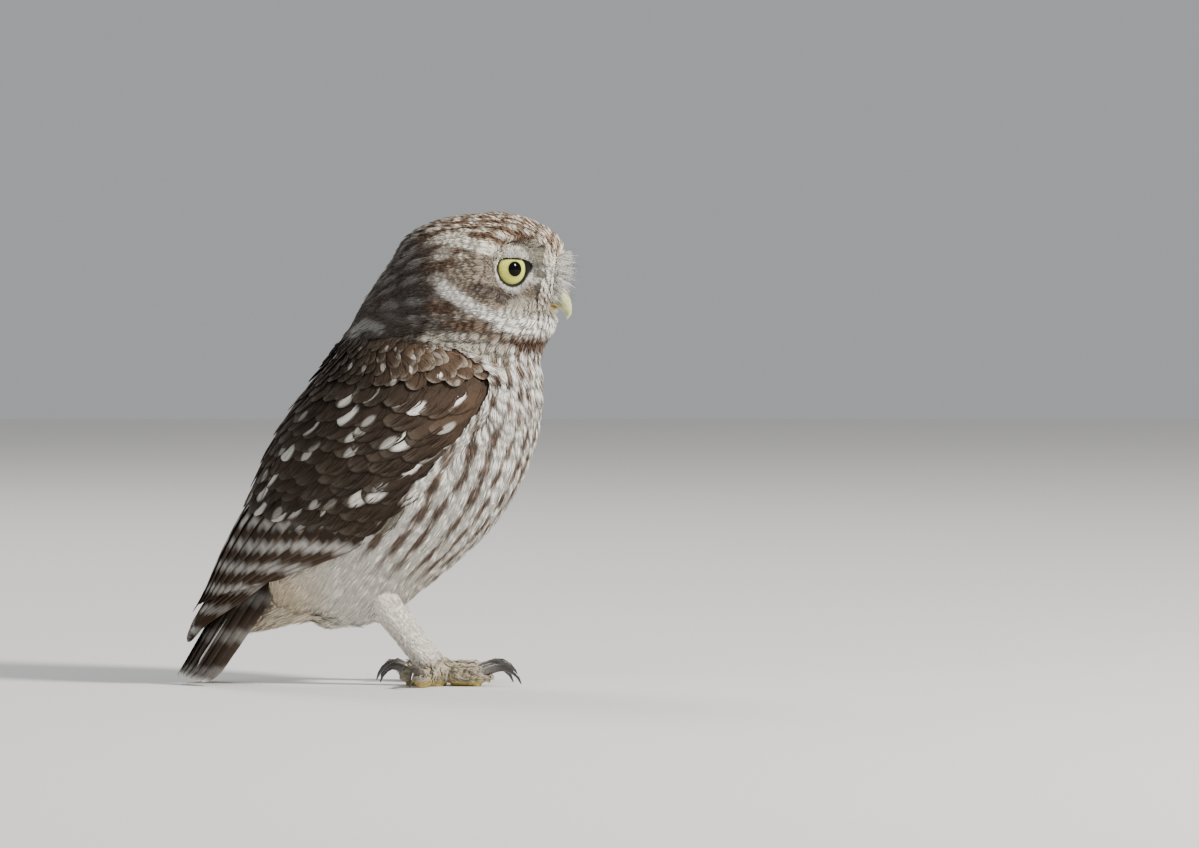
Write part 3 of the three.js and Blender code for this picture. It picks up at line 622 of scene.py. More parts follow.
def dress(points):
    """Colour of the plumage at its places: ground, bands of the face, streaks and spots."""
    straight = turned(points, back=True)
    x, z = straight[..., 0], straight[..., 2]
    white, cream, brown, umber, grey = map(paint, ("white", "cream", "brown", "umber", "grey"))
    head = smooth(133, 141, z + 0.35 * np.minimum(x - 30, 0))
    # Towards the back of the head the crown is painted darker, and its pale spots greyer and fainter: partly
    # the owl's own dark hind crown, partly painted shade.
    back = smooth(42, 16, x + 0.4 * (z - 160))[..., None]
    spots = crown_spots(straight)
    crown = blend(brown, umber * 0.42, back)
    pale = blend(white * (1, 0.95, 0.85), white * 0.26, back)
    strength = (0.95 - 0.35 * back[..., 0]) * spots

    under = blend(white, cream, 0.35 * smooth(60, 36, z)[..., None])
    buffy = smooth(-12, -38, x)[..., None] * smooth(60, 30, z)[..., None]
    under = blend(under, cream * (1.0, 0.9, 0.74), buffy)
    under = blend(under, brown * 0.72, 0.95 * breast_streaks(straight)[..., None])
    hind = (smooth(31, 20, x) * smooth(112, 120, z))[..., None]
    under = blend(under, umber * 0.5, hind)

    bands = [
        # path, reach, colour, how much of the pale spots shows on it
        (DISC, 8, grey, 0.12),
        (LORES, 6.5, white * (0.82, 0.82, 0.8), 0.1),
        (RUFF, 4.6, brown * 0.62, 0.3),
        (SMUDGE, 2.8, umber * 0.75, 0.1),
        (CRESCENT, 2.6, white, 0),
        (THROAT, 4.2, white, 0),
        (GAPE, 3.2, cream * 0.62, 0.1),
        (BIB, 3.6, cream * 0.6, 0.5),
        (BROW, 2.4, white * (1, 0.96, 0.88), 0.1),
        # The nape's pale marks are painted dark grey, as in shade: painted shade on real pale marks.
        (NAPE, 2.0, white * 0.3, 0.2),
    ]
    for path, reach, colour, spotted in bands:
        weight = nearness(straight, path, reach)
        crown = blend(crown, colour, weight[..., None])
        under = blend(under, colour, (weight * smooth(124, 130, z))[..., None])
        strength = blend(strength, spotted * spots, weight)
    crown = blend(crown, pale, strength[..., None])
    return blend(under, crown, head[..., None])


# Skin under the feathers

FLESH = [
    "head", "neck", "breast", "belly", "undertail",
    "thigh_right", "thigh_left", "shank_right", "shank_left",
]


class Surface:
    """Meshes that feathers stand on: finds the nearest place and its normal, in millimetres."""

    def __init__(self, *things):
        places, faces, normals = [], [], []
        start = 0
        for thing in things:
            places.append(owl_places(thing.data))
            normals.append(normals_of(thing.data))
            faces += [tuple(v + start for v in face.vertices) for face in thing.data.polygons]
            start += len(places[-1])
        self.places, normals = np.concatenate(places), np.concatenate(normals)
        self.tree = BVHTree.FromPolygons(self.places.tolist(), faces)
        self.normals = unit(np.array([normals[list(face)].mean(0) for face in faces]))

    def height_along(self, point, axis, below=0):
        """Height over a point, along an axis, of the outermost surface, or the lowest there can be."""
        hit = self.tree.ray_cast((point + 25 * axis).tolist(), (-axis).tolist(), 25 + below)[0]
        return -below if hit is None else (np.array(hit) - point) @ axis

    def nearest(self, points):
        places = np.empty_like(points)
        normals = np.empty_like(points)
        for k, point in enumerate(points):
            place, _, face, _ = self.tree.find_nearest(point)
            places[k] = place
            normals[k] = self.normals[face]
        return places, normals


BILL_LINE = np.array([(64, 0, 149), (68, 0, 149.6), (71, 0, 150), (73.4, 0, 148), (74.3, 0, 143.6)])
BILL_REACH = (4.4, 4.8, 4.6, 3.2, 0.8)


def bill_gap(points):
    """How far places stand off the bare side of the bill."""
    straight = turned(points, back=True)
    gap = np.full(len(points), 1e9)
    for k in range(len(BILL_LINE) - 1):
        start, step = BILL_LINE[k], BILL_LINE[k + 1] - BILL_LINE[k]
        along = np.clip(((straight - start) @ step) / (step @ step), 0, 1)
        off = np.linalg.norm((straight - start - along[:, None] * step) * (1, 0.75, 1), axis=1)
        gap = np.minimum(gap, off - blend(BILL_REACH[k], BILL_REACH[k + 1], along))
    return gap


def eye_distance(points):
    """Distance of places from the axis of the nearer eye."""
    gaps = []
    for side in (-1, 1):
        centre, axis = eye_place(side)
        offset = points - centre
        ahead = offset @ axis
        gaps.append(np.linalg.norm(offset - ahead[:, None] * axis, axis=1) + 40 * (ahead < 0))
    return np.minimum(*gaps)


def coat_depth(points):
    """Depth of the coat in millimetres at places on the outside."""
    x, _, z = points.T
    depth = blend(coat().body_depth, coat().head_depth, smooth(120, 145, z))
    depth = blend(coat().face_depth, depth, smooth(12, 24, eye_distance(points)))
    depth = blend(coat().face_depth, depth, smooth(2, 15, bill_gap(points)))
    depth = depth + 0.0024 * smooth(14, 8, eye_distance(points))
    leg = smooth(34, 27, z) * smooth(-14, -4, x)
    depth = blend(depth, coat().leg_depth, leg)
    depth = blend(depth, 0.001, smooth(-24, -36, x) * smooth(50, 42, z))
    return depth * 1000


class OWL_OT_skin(bpy.types.Operator):
    """Makes one skin inside the flesh of the solids, under the whole depth of the coat"""
    bl_idname = "owl.skin"
    bl_label = "Skin"

    def execute(self, context):
        thing = smooth_copy("skin", FLESH, voxel=0.0011, swell=0.00035, rounds=14)
        mesh = thing.data
        places = owl_places(mesh)
        inner = places - normals_of(mesh) * (coat_depth(places)[:, None] + SKIN_UNDER_COAT)
        by_bill = 1 - smooth(0, SKIN_BEHIND_BILL, bill_gap(places))
        put_places(mesh, inner - turned_way((SKIN_BEHIND_BILL, 0, 0)) * by_bill[:, None])
        mesh.update()
        apply_modifier(thing, "SMOOTH", factor=0.5, iterations=4)
        places = owl_places(mesh)
        set_tint(mesh, dress(places) * SKIN_TINT)
        around = np.arctan2(places[:, 1], places[:, 0] - 15) / (2 * math.pi) + 0.5
        set_map(mesh, "OFBake", np.stack([0.02 + 0.96 * around, 0.02 + 0.96 * places[:, 2] / MAP_HEIGHT], -1))
        material = tinted_material("Skin and down", grain=0.35, scale=700.0, roughness=0.85, bump=0.5)
        finish_piece(thing, material, "plumage_pale", *FLESH)
        return {"FINISHED"}


# Feathers

# The faces of one strand: root, two rings of low edge, ridge and high edge, and tip
STRAND_FACES = np.array([
    (0, 1, 2), (0, 2, 3), (1, 4, 5), (1, 5, 2), (2, 5, 6), (2, 6, 3), (4, 7, 5), (5, 7, 6),
    (0, 3, 1), (1, 3, 6), (1, 6, 4), (4, 6, 7),
])


class Shape:
    """The strands of one kind of feather: places across and along at four stations, and half widths."""

    def __init__(self, across, along, breadth):
        self.across, self.along, self.breadth = across, along, breadth


def soft_shape(count, fill=1.7, round_off=0.28):
    """A soft body feather: strands that leave the root and spread to a rounded tip."""
    k = np.linspace(-1, 1, count) if count > 1 else np.zeros(1)
    reach = 1 - round_off * np.abs(k) ** 2
    across = np.stack([0.1 * k, 0.72 * k, k, 0.9 * k], 1)
    along = np.stack([0 * k, 0.36 * reach, 0.74 * reach, reach], 1)
    wide = fill / max(count, 2)
    breadth = np.stack([0 * k, wide + 0 * k, 0.8 * wide + 0 * k, 0 * k], 1)
    return Shape(across, along, breadth)


def covert_outline(along):
    """Half width of a covert's vane from its narrow root to its rounded tip."""
    rising = np.clip(along / 0.45, 0.12, 1) ** 0.6
    falling = np.sqrt(np.clip(1 - np.clip((along - 0.5) / 0.505, 0, 1) ** 2, 0, 1))
    return rising * falling


def flight_outline(along):
    """Half width of a long flight feather, which is even until its rounded tip."""
    falling = np.sqrt(np.clip(1 - np.clip((along - 0.86) / 0.142, 0, 1) ** 2, 0.003, 1))
    return np.clip(along / 0.12, 0.35, 1) * falling


class Feathers:
    """A group of feathers of one kind: their spines, sizes and how they stand off what is under them."""

    def __init__(self, spine, normals, length, width, lift, bank=0.0, camber=0.12, hand=1):
        self.spine, self.normals = spine, unit(normals)
        count = len(spine)
        self.length = np.broadcast_to(np.asarray(length, float), (count,))
        self.width = np.broadcast_to(np.asarray(width, float), (count,))
        self.lift = [np.broadcast_to(np.asarray(value, float), (count,)) for value in lift]
        self.bank = np.broadcast_to(np.asarray(bank, float), (count,)) * hand
        self.camber = camber
        self.hand = hand
        forward = np.gradient(spine, axis=1)
        forward -= self.normals * (forward * self.normals).sum(-1, keepdims=True)
        self.side = unit(np.cross(self.normals, unit(forward)))

    def place(self, across, along, raise_by=0.0):
        """Points of the feathers' planes: across in millimetres, along as a share of the length."""
        last = self.spine.shape[1] - 1
        way = np.clip(along, 0, 1.1) * last
        at = np.clip(way.astype(int), 0, last - 1)
        rest = (way - at)[..., None]
        rows = np.arange(len(self.spine)).reshape((-1,) + (1,) * (along.ndim - 1))
        point = blend(self.spine[rows, at], self.spine[rows, at + 1], rest)
        normal = blend(self.normals[rows, at], self.normals[rows, at + 1], rest)
        side = blend(self.side[rows, at], self.side[rows, at + 1], rest)
        shape = (-1,) + (1,) * (along.ndim - 1)
        width, bank = self.width.reshape(shape), self.bank.reshape(shape)
        low, high = (value.reshape(shape) for value in self.lift)
        height = blend(low, high, np.clip(along, 0, 1) ** 0.8) + bank * across
        height = height - self.camber * width * (across / width) ** 2 + raise_by
        return point + side * across[..., None] + normal * height[..., None]


def strands(feathers, shape, rng, ragged=0.05, loose=0.12, thick=0.3, raise_by=0.0):
    """Points of all strands, eight to each, with their shares across and along the feather."""
    count, number = len(feathers.spine), len(shape.across)
    width = feathers.width[:, None, None]
    length = feathers.length[:, None, None]
    stretch = 1 + ragged * rng.standard_normal((count, number, 1))
    sway = loose * rng.standard_normal((count, number, 1)) * np.array((0, 0.6, 1.4, 2.0)) / number
    across = (shape.across + sway) * width
    along = shape.along * stretch
    breadth = shape.breadth * width
    run_across = np.gradient(across, axis=2)
    run_along = np.gradient(along, axis=2) * length
    run = np.maximum(np.hypot(run_across, run_along), 1e-6)
    step_across, step_along = run_along / run * breadth, -run_across / run * breadth / length
    ruffle = thick * 0.5 * rng.standard_normal((count, number, 1)) * np.array((0, 0.6, 1, 1.2)) + raise_by
    roll = 0.35 * rng.standard_normal((count, number, 1))
    rows = []
    for station in range(4):
        if station in (0, 3):
            rows.append((across[..., station], along[..., station], ruffle[..., station]))
            continue
        for edge, crest in ((-1, 0), (0, 1), (1, 0)):
            height = ruffle[..., station] + crest * thick * 0.6 + edge * roll[..., 0] * breadth[..., station]
            rows.append((
                across[..., station] + edge * step_across[..., station],
                along[..., station] + edge * step_along[..., station] + crest * 0.004,
                height,
            ))
    across, along, height = (np.stack([row[k] for row in rows], -1) for k in range(3))
    points = feathers.place(across, along, height)
    return points, across / width * feathers.hand, along


def sheet_faces(rows, columns):
    """Faces of a closed thin sheet: its upper grid of points, its lower one, and the rim between them."""
    wide = columns + 1
    size = (rows + 1) * wide
    faces = []
    for r in range(rows):
        for c in range(columns):
            a, b, d, e = r * wide + c, r * wide + c + 1, (r + 1) * wide + c, (r + 1) * wide + c + 1
            faces += [(a, b, e, d), (a + size, d + size, e + size, b + size)]
    rim = list(range(columns))
    rim += [r * wide + columns for r in range(rows)]
    rim += [rows * wide + c for c in range(columns, 0, -1)]
    rim += [r * wide for r in range(rows, 0, -1)]
    for first, second in zip(rim, rim[1:] + rim[:1]):
        faces.append((second, first, first + size, second + size))
    return np.array(faces)


def vanes(feathers, rows, columns, profile, rng, thick=0.35, ragged=0.0):
    """Points of closed vanes, with their shares across and along, and 1 for the under side."""
    count = len(feathers.spine)
    along = 1 - (1 - np.linspace(0, 1, rows + 1)) ** 1.5
    k = np.linspace(-1, 1, columns + 1)
    half = profile(along)[None, :, None] * (1 + ragged * rng.standard_normal((count, rows + 1, 1)))
    across = k * half * feathers.width[:, None, None]
    drawn = np.broadcast_to(along[:, None], across.shape)
    shaft = 0.25 * np.exp(-((k * 9) ** 2)) * (1 - drawn) ** 0.5
    thin = thick * np.clip(1 - k ** 4, 0.25, 1) * (1 - 0.7 * drawn ** 3)
    top = feathers.place(across, drawn, thin / 2 + shaft)
    bottom = feathers.place(across, drawn, -thin / 2)
    points = np.stack([top, bottom], 1).reshape(count, -1, 3)
    if feathers.hand < 0:
        points = np.stack([bottom, top], 1).reshape(count, -1, 3)
    shares = across / feathers.width[:, None, None] * feathers.hand
    shares = np.stack([shares, shares], 1).reshape(count, -1)
    drawn = np.stack([drawn, drawn], 1).reshape(count, -1)
    under = np.repeat((0.0, 1.0) if feathers.hand > 0 else (1.0, 0.0), (rows + 1) * (columns + 1))
    return points, shares, drawn, under


def shade(colour, along, rng, fringe=0.12, dark_root=0.45, grain=0.1):
    """Colours of all strands: darker at their roots, paler at their tips, and each a little different."""
    tone = 1 + grain * rng.standard_normal(along.shape[:2] + (1,))
    tone = tone * (1 + fringe * smooth(0.7, 1, along) - fringe * 0.3)
    tone = tone * blend(1 - dark_root, 1, smooth(0.0, 0.55, along))
    return colour * tone[..., None]


def cells(number, total, shares, along, under=0.0):
    """A cell of the map for each large feather, with its upper side on the left of it."""
    rows = math.ceil(math.sqrt(total * 1.3))
    columns = math.ceil(total / rows)
    shape = (-1,) + (1,) * (shares.ndim - 1)
    number = np.asarray(number).reshape(shape)
    u = (number % columns + 0.25 + 0.21 * np.clip(shares, -1.1, 1.1) + 0.5 * under) / columns
    v = (number // columns + 0.04 + 0.88 * np.clip(along, 0, 1.04)) / rows
    return np.stack([u, v], -1)


class Piece:
    """Gathers feathers into one mesh, with their colours and places on the map."""

    def __init__(self):
        self.points, self.faces, self.values, self.start = [], [], {}, 0

    def add(self, points, faces, **values):
        """Takes many like forms at once: their points, the faces of one, and values for each point."""
        count, size = points.shape[:2]
        starts = self.start + size * np.arange(count)
        self.faces += (faces[None] + starts[:, None, None]).reshape(-1, faces.shape[1]).tolist()
        self.points.append(points.reshape(-1, 3))
        for name, value in values.items():
            value = np.broadcast_to(value, (count, size, value.shape[-1]))
            self.values.setdefault(name, []).append(value.reshape(-1, value.shape[-1]))
        self.start += count * size

    def add_strands(self, points, tint, across, along, roots):
        """Takes painted strands. Each feather keeps to a small patch of the map."""
        offset = np.stack([np.clip(across, -1.2, 1.2), 2 * np.clip(along, 0, 1.1) - 1], -1) * 0.0015
        places = np.reshape(roots, (-1, 1, 1, 2)) + offset
        self.add(points.reshape(-1, 8, 3), STRAND_FACES, tint=tint.reshape(-1, 8, 3),
                 bake=places.reshape(-1, 8, 2))

    def build(self, name, material, slot, *nodes):
        values = {key: np.concatenate(rows) for key, rows in self.values.items()}
        thing = new_thing(name, np.concatenate(self.points), self.faces)
        mesh = thing.data
        bake = values["bake"]
        low, high = bake.min(0), bake.max(0)
        set_map(mesh, "OFBake", 0.01 + 0.98 * (bake - low) / (high - low))
        set_tint(mesh, values["tint"])
        if "vane" in values:
            set_map(mesh, "Vane", values["vane"])
        for key in ("Spot", "Spot size"):
            if key in values:
                layer = mesh.attributes.new(key, "FLOAT_VECTOR", "POINT")
                layer.data.foreach_set("vector", np.ascontiguousarray(values[key]).ravel())
        mesh.shade_smooth()
        finish_piece(thing, material, slot, *nodes)


def grow(piece, feathers, shape, rng, colour, place, shading, **ends):
    """Adds painted strands to a piece. The colour is one for each feather, or a rule over the points."""
    points, across, along = strands(feathers, shape, rng, **ends)
    ground = colour(points) if callable(colour) else colour[:, None, None]
    piece.add_strands(points, shade(ground, along, rng, **shading), across, along, place)


def body_normal(points):
    """The way out of the plumage's smooth form at places on it."""
    straight = turned(points, back=True)
    angle, height = body_angle(straight), np.minimum(straight[..., 2], CROWN_TOP - 1.5)
    by_angle = body_point(height, angle + 0.02) - body_point(height, angle - 0.02)
    by_height = body_point(height + 1, angle) - body_point(height - 1, angle)
    return unit(np.cross(by_angle, by_height))


def march(surface, roots, flows, lengths, steps=4, cling=0.85, even=0.0):
    """Spines that run over a surface from their roots, and the normals along them."""
    def nearest(points):
        places, normals = surface.nearest(points)
        return places, unit(blend(normals, body_normal(places), even)) if even else normals

    places, normals = nearest(roots)
    spine, frames = [places], [normals]
    direction = unit(flows)
    for step in range(steps):
        direction = unit(direction - normals * (direction * normals).sum(1, keepdims=True))
        ahead = spine[-1] + direction * (lengths / steps)[:, None]
        places, normals = nearest(ahead)
        hold = cling if step > 0 else 1
        spine.append(blend(ahead, places, hold))
        frames.append(normals)
    return np.stack(spine, 1), np.stack(frames, 1)


def body_rows(bottom, top, spacing, rng, jitter=0.25, stretch=1.15):
    """Staggered rings of roots on the plumage between two heights: heights and angles."""
    heights, angles = [], []
    height, row = bottom, 0
    while height < top:
        probe = body_point(np.array([height, min(height + 0.5, CROWN_TOP)]), np.array([0.9, 0.9]))
        slope = np.linalg.norm(probe[1] - probe[0]) / max(min(0.5, CROWN_TOP - height), 1e-3)
        ring = body_point(np.full(60, height), np.linspace(0, 2 * math.pi, 60))
        around = np.linalg.norm(np.diff(ring, axis=0), axis=1).sum()
        count = max(int(around / spacing), 3)
        turn = (np.arange(count) + 0.5 * (row % 2) + jitter * rng.uniform(-1, 1, count)) / count
        angles.append(turn * 2 * math.pi)
        heights.append(np.full(count, height) + jitter * spacing / slope * rng.uniform(-1, 1, count))
        height += spacing * stretch / max(slope, 1)
        row += 1
    return np.concatenate(heights), np.concatenate(angles)


def body_flow(points):
    """Which way the feathers lie at places on the plumage."""
    straight = turned(points, back=True)
    x, y, z = straight[:, 0], straight[:, 1], straight[:, 2]
    lean = follow(FEATHER_LEAN, z)
    down = unit(np.stack([-lean, 0 * x, -np.ones_like(x)], 1))
    bill = straight - (74, 0, 154)
    swept = unit(bill * (1, 1, 0.55) + np.stack([0 * x, 0 * x, -3 - 0.35 * np.maximum(30 - x, 0)], 1))
    flow = blend(down, swept, smooth(128, 142, z)[:, None])
    for side in (-1, 1):
        eye = np.array((53.5, side * 14.5, 162.0))
        away = straight - eye
        gap = np.linalg.norm(away, axis=1)
        near = smooth(22, 12, gap) * (np.sign(y) == side)
        flow = blend(unit(flow), unit(away), near[:, None])
    ahead = turned(straight + flow) - points
    return unit(ahead)


def covered(points):
    """True for places that the folded wings hide."""
    x, _, z = points.T
    return (z > 26) & (z < 131) & (x < follow(LEADING_EDGE, z) - blend(12, 1, smooth(114, 124, z)))


def clear_of_bill(spine, allow=0.0):
    """True for feathers that neither start in the bill nor lie across it."""
    gaps = np.stack([bill_gap(spine[:, k]) for k in range(spine.shape[1])], 1)
    return (gaps[:, 0] > 0.3 - allow) & (gaps[:, 1:].min(1) > -allow)


def map_place(heights, angles):
    return np.stack([(angles / (2 * math.pi)) % 1, heights / MAP_HEIGHT], -1)


# Coat regions: name, lowest and highest root, spacing, length, half width, strands, lift at root and tip,
# how closely the feathers keep to the skin, how dark their roots are, unevenness of colour, and slot
BODY_COATS = [
    ("belly_feathers", 24, 60, 3.0, 17, 2.9, 11, (-0.6, 3.6), 0.85, 0.28, 0.06, "plumage_pale"),
    ("breast_feathers", 60, 100, 3.7, 16, 3.8, 15, (-0.6, 3.5), 0.85, 0.28, 0.06, "plumage_pale"),
    ("upper_breast_feathers", 100, 131, 3.3, 13, 3.2, 13, (-0.6, 3.2), 0.85, 0.28, 0.06, "plumage_pale"),
    ("neck_feathers", 131, 146, 2.6, 10, 2.2, 9, (-0.5, 2.4), 0.55, 0.28, 0.06, "plumage_pale"),
    ("cheek_feathers", 146, 168, 2.2, 7.4, 1.8, 11, (-0.4, 2.0), 0.85, 0.37072, 0.06, "plumage_brown"),
    ("crown_feathers", 168, 184.2, 2.3, 7.2, 1.8, 11, (-0.4, 2.0), 0.85, 0.42, 0.1, "plumage_brown"),
]


class OWL_OT_body_coat(bpy.types.Operator):
    """Grows the feathers of head, neck, breast and belly over the skin"""
    bl_idname = "owl.body_coat"
    bl_label = "Body coat"

    def execute(self, context):
        surface = Surface(bpy.data.objects["skin"])
        rng = np.random.default_rng(11)
        for name, bottom, top, spacing, length, width, number, lift, cling, dark, grain, slot in BODY_COATS:
            heights, angles = body_rows(bottom, top, spacing, rng)
            roots = body_point(heights, angles)
            by_leg = np.hypot(roots[:, 0] - 5, np.abs(roots[:, 1]) - LEG_SPREAD) + 9 * (heights > 30)
            keep = ~covered(roots) & (eye_distance(roots) > EYE_CLEARING) & (by_leg > LEG_CLEARING)
            heights, angles, roots = only(keep, heights, angles, roots)
            lengths = length * rng.uniform(0.88, 1.12, len(roots))
            lengths = lengths * blend(0.55, 1, smooth(0, 12, bill_gap(roots)))
            spine, normals = march(surface, roots, body_flow(roots), lengths, cling=cling, even=0.65)
            keep = clear_of_bill(spine)
            spine, normals, lengths, heights, angles = only(keep, spine, normals, lengths, heights, angles)
            x, _, z = spine[:, 0].T
            by_wing = smooth(12, 3, np.abs(x - follow(LEADING_EDGE, z))) * smooth(60, 75, z)
            loose = smooth(36, 27, z) * smooth(4, -8, x) * rng.uniform(0.3, 1, len(x))
            tips = lift[1] + 1.4 * by_wing * smooth(126, 116, z) + 1.8 * loose
            feathers = Feathers(spine, normals, lengths, width, (lift[0], tips))
            piece = Piece()
            grow(piece, feathers, soft_shape(number), rng, dress, map_place(heights, angles),
                 dict(dark_root=dark, grain=grain))
            piece.build(name, feather_material(), slot)
        self.wing_side(rng)
        return {"FINISHED"}

    def wing_side(self, rng):
        """Lays breast feathers over the front edge of each folded wing."""
        piece = Piece()
        for side in SIDES.values():
            rows = np.repeat(np.arange(80, 125, 1.6), 4)
            offset = np.tile((-0.13, -0.08, -0.03, 0.015), len(rows) // 4)
            offset = offset + 0.012 * rng.uniform(-1, 1, len(rows))
            rows = rows + 0.5 * rng.uniform(-1, 1, len(rows))
            lengths = WING_SIDE_LENGTH * rng.uniform(0.85, 1.15, len(rows))
            heights = rows[:, None] - 0.86 * lengths[:, None] * np.linspace(0, 1, 6)
            spine, normals = wing_places(heights, edge_angle(heights) + offset[:, None], side)
            front = smooth(0.02, -0.14, offset)
            lift = (-3.4 - 1.6 * front, -0.5 - 2.6 * front)
            feathers = Feathers(spine, normals, lengths, WING_SIDE_WIDTH, lift)
            grow(piece, feathers, soft_shape(10), rng, dress, np.stack([offset + 0.3 * side, rows / 100], -1),
                 dict(dark_root=0.3, grain=0.07))
        piece.build("wing_side_feathers", feather_material(), "plumage_pale")


# The leg's middle line and radius, at shares of the way from the belly to the foot
LEG_STATIONS = (-0.2, 0, 0.4, 0.75, 1, 1.12)
LEG_AHEAD = (-3, 0.5, 8, 15, 20, 21.5)
LEG_UP = (42, 36, 25, 15.5, 9.5, 6.5)
LEG_RADII = ((-0.2, 0.0, 0.15, 0.35, 0.6, 1, 1.12), (2.5, 4.6, 6.2, 5.6, 4.9, 4.8, 5.2))


def leg_surface(way, turn, side):
    """Places and normals on the outside of a leg's coat, from the belly to the foot."""
    centre = np.stack([
        np.interp(way, LEG_STATIONS, LEG_AHEAD),
        side * LEG_SPREAD + 0 * way,
        np.interp(way, LEG_STATIONS, LEG_UP),
    ], -1)
    radius = np.interp(way, *LEG_RADII)[..., None]
    around = np.cos(turn)[..., None] * (0, 1.0, 0) + np.sin(turn)[..., None] * (0.8, 0, 0.6) + 0 * radius
    return centre + around * radius, around


class OWL_OT_leg_coat(bpy.types.Operator):
    """Grows the short white feathers of thighs and shanks, and the soft ones under the tail"""
    bl_idname = "owl.leg_coat"
    bl_label = "Leg coat"

    def execute(self, context):
        rng = np.random.default_rng(23)
        white, cream = paint("white"), paint("cream")
        piece = Piece()
        for side in SIDES.values():
            way = np.repeat(np.linspace(-0.05, 0.93, LEG_ROWS), LEG_ROWS)
            turn = np.tile(np.arange(LEG_ROWS), LEG_ROWS) + 0.5 * np.repeat(np.arange(LEG_ROWS) % 2, LEG_ROWS)
            turn = turn / LEG_ROWS + 0.008 * rng.uniform(-1, 1, len(turn))
            lengths = LEG_FEATHER_LENGTH * rng.uniform(0.85, 1.15, len(turn))
            steps = way[:, None] + lengths[:, None] / LEG_LENGTH * np.linspace(0, 1, 5)
            steps = np.minimum(steps, LEG_STATIONS[-1])
            spine, normals = leg_surface(steps, turn[:, None] * 2 * math.pi, side)
            feathers = Feathers(spine, normals, lengths, LEG_FEATHER_WIDTH, (-0.9, 0.1))
            ground = np.tile(white * (1.0, 0.98, 0.94), (len(turn), 1))
            ground = blend(ground, cream * 0.8, 0.5 * smooth(0.8, 1, way)[:, None])
            place = np.stack([0.25 * (side + 1) + 0.45 * (turn % 1), way], -1)
            grow(piece, feathers, soft_shape(7), rng, ground, place,
                 dict(dark_root=0.25, grain=0.06), thick=0.16)
        piece.build("leg_feathers", feather_material(), "plumage_pale")
        self.undertail(rng, blend(white, cream, 0.7) * (1.0, 0.94, 0.84))
        return {"FINISHED"}

    def undertail(self, rng, colour):
        """Grows the loose feathers under the tail."""
        rows, columns = UNDERTAIL_ROWS, UNDERTAIL_COLUMNS
        way = np.repeat(np.linspace(-0.35, 1, rows), columns)
        turn = np.tile(np.arange(columns), rows) + 0.5 * np.repeat(np.arange(rows) % 2, columns)
        turn = turn / columns * math.pi + math.pi
        lengths = blend(17, 11, np.clip(way, 0, 1)) * rng.uniform(0.85, 1.15, len(way))
        run = way[:, None] + lengths[:, None] / UNDERTAIL_LENGTH * np.linspace(0, 1, 5)
        shape = np.clip(run, -0.4, 1.4)
        spine = np.stack([
            -19 - 26 * run,
            np.cos(turn)[:, None] * blend(14, 5.5, shape),
            40 - 12.5 * run + np.sin(turn)[:, None] * blend(12, 4, shape),
        ], -1)
        normals = np.stack([0 * turn, np.cos(turn), np.sin(turn)], -1)[:, None, :] + np.zeros((1, 5, 3))
        lift = (-1.2, rng.uniform(0.4, 3.6, len(way)))
        feathers = Feathers(spine, normals, lengths, UNDERTAIL_WIDTH, lift)
        piece = Piece()
        grow(piece, feathers, soft_shape(9), rng, np.tile(colour, (len(way), 1)),
             np.stack([turn / 7, way], -1), dict(dark_root=0.3), ragged=0.1)
        piece.build("undertail_feathers", feather_material(), "plumage_pale")


# Wings

def wing_spines(shares, roots, lengths, side, steps=5):
    """Spines down the folded wing, which lean back at its shoulder, and their normals."""
    lower = np.maximum(roots - 0.5, 16)
    probe = wrap_point(lower, wing_angle(lower, shares)) - wrap_point(roots, wing_angle(roots, shares))
    drop = lengths / np.maximum(np.linalg.norm(probe, axis=1) / 0.5, 1)
    lean = 0.1 * (1 - shares) * smooth(72, 108, roots) * smooth(136, 120, roots)
    way = np.linspace(0, 1, steps + 1)
    heights = roots[:, None] - (drop * (1 - 0.9 * lean))[:, None] * way
    angles = wing_angle(heights, shares[:, None] + lean[:, None] * way ** 1.2)
    return wing_places(heights, angles, side)


def spot_marks(feathers, widths, rng):
    """Centre, reach and strength of the white spot of each covert, nearest to where the owl shows them."""
    count = len(widths)
    zero = np.zeros((count, 1))
    seen = feathers.place(zero, zero + SPOT_ALONG)[:, 0]
    tangent = unit(feathers.spine[:, -1] - feathers.spine[:, 0])
    centre = np.stack([np.zeros(count), np.full(count, 0.78)], 1)
    strength = np.zeros(count)
    for spot in WING_SPOTS:
        offset = np.array((spot[0], 0, spot[1])) - seen * (1, 0, 1)
        gap = np.linalg.norm(offset, axis=1) + 99 * (strength > 0) + 99 * (np.abs(seen[:, 1]) < 14)
        best = int(np.argmin(gap))
        if gap[best] > SPOT_REACH:
            continue
        across = offset[best] @ feathers.side[best, 3] / widths[best] * feathers.hand
        along = SPOT_ALONG + offset[best] @ tangent[best] / feathers.length[best]
        centre[best] = np.clip(across, -0.3, 0.3), along
        # Spots towards the wing's back are painted fainter, so greyer: painted shade.
        strength[best] = blend(0.62, 0.97, smooth(-8, 22, spot[0]))
    centre[:, 1] = np.clip(centre[:, 1], 0.74, 0.84)
    faint = (strength == 0) & (rng.uniform(0, 1, count) < 0.4)
    centre[faint, 0] = 0.55 * rng.choice((-1, 1), faint.sum())
    strength[faint] = rng.uniform(0.15, 0.5, faint.sum())
    reach_across = np.where(faint, 0.3, rng.uniform(0.4, 0.52, count))
    reach_along = np.where(faint, 0.15, rng.uniform(0.2, 0.26, count))
    spot = np.stack([centre[:, 0], centre[:, 1], strength], 1)
    size = np.stack([1 / reach_across, 1 / reach_along, np.zeros(count)], 1)
    return spot, size, seen


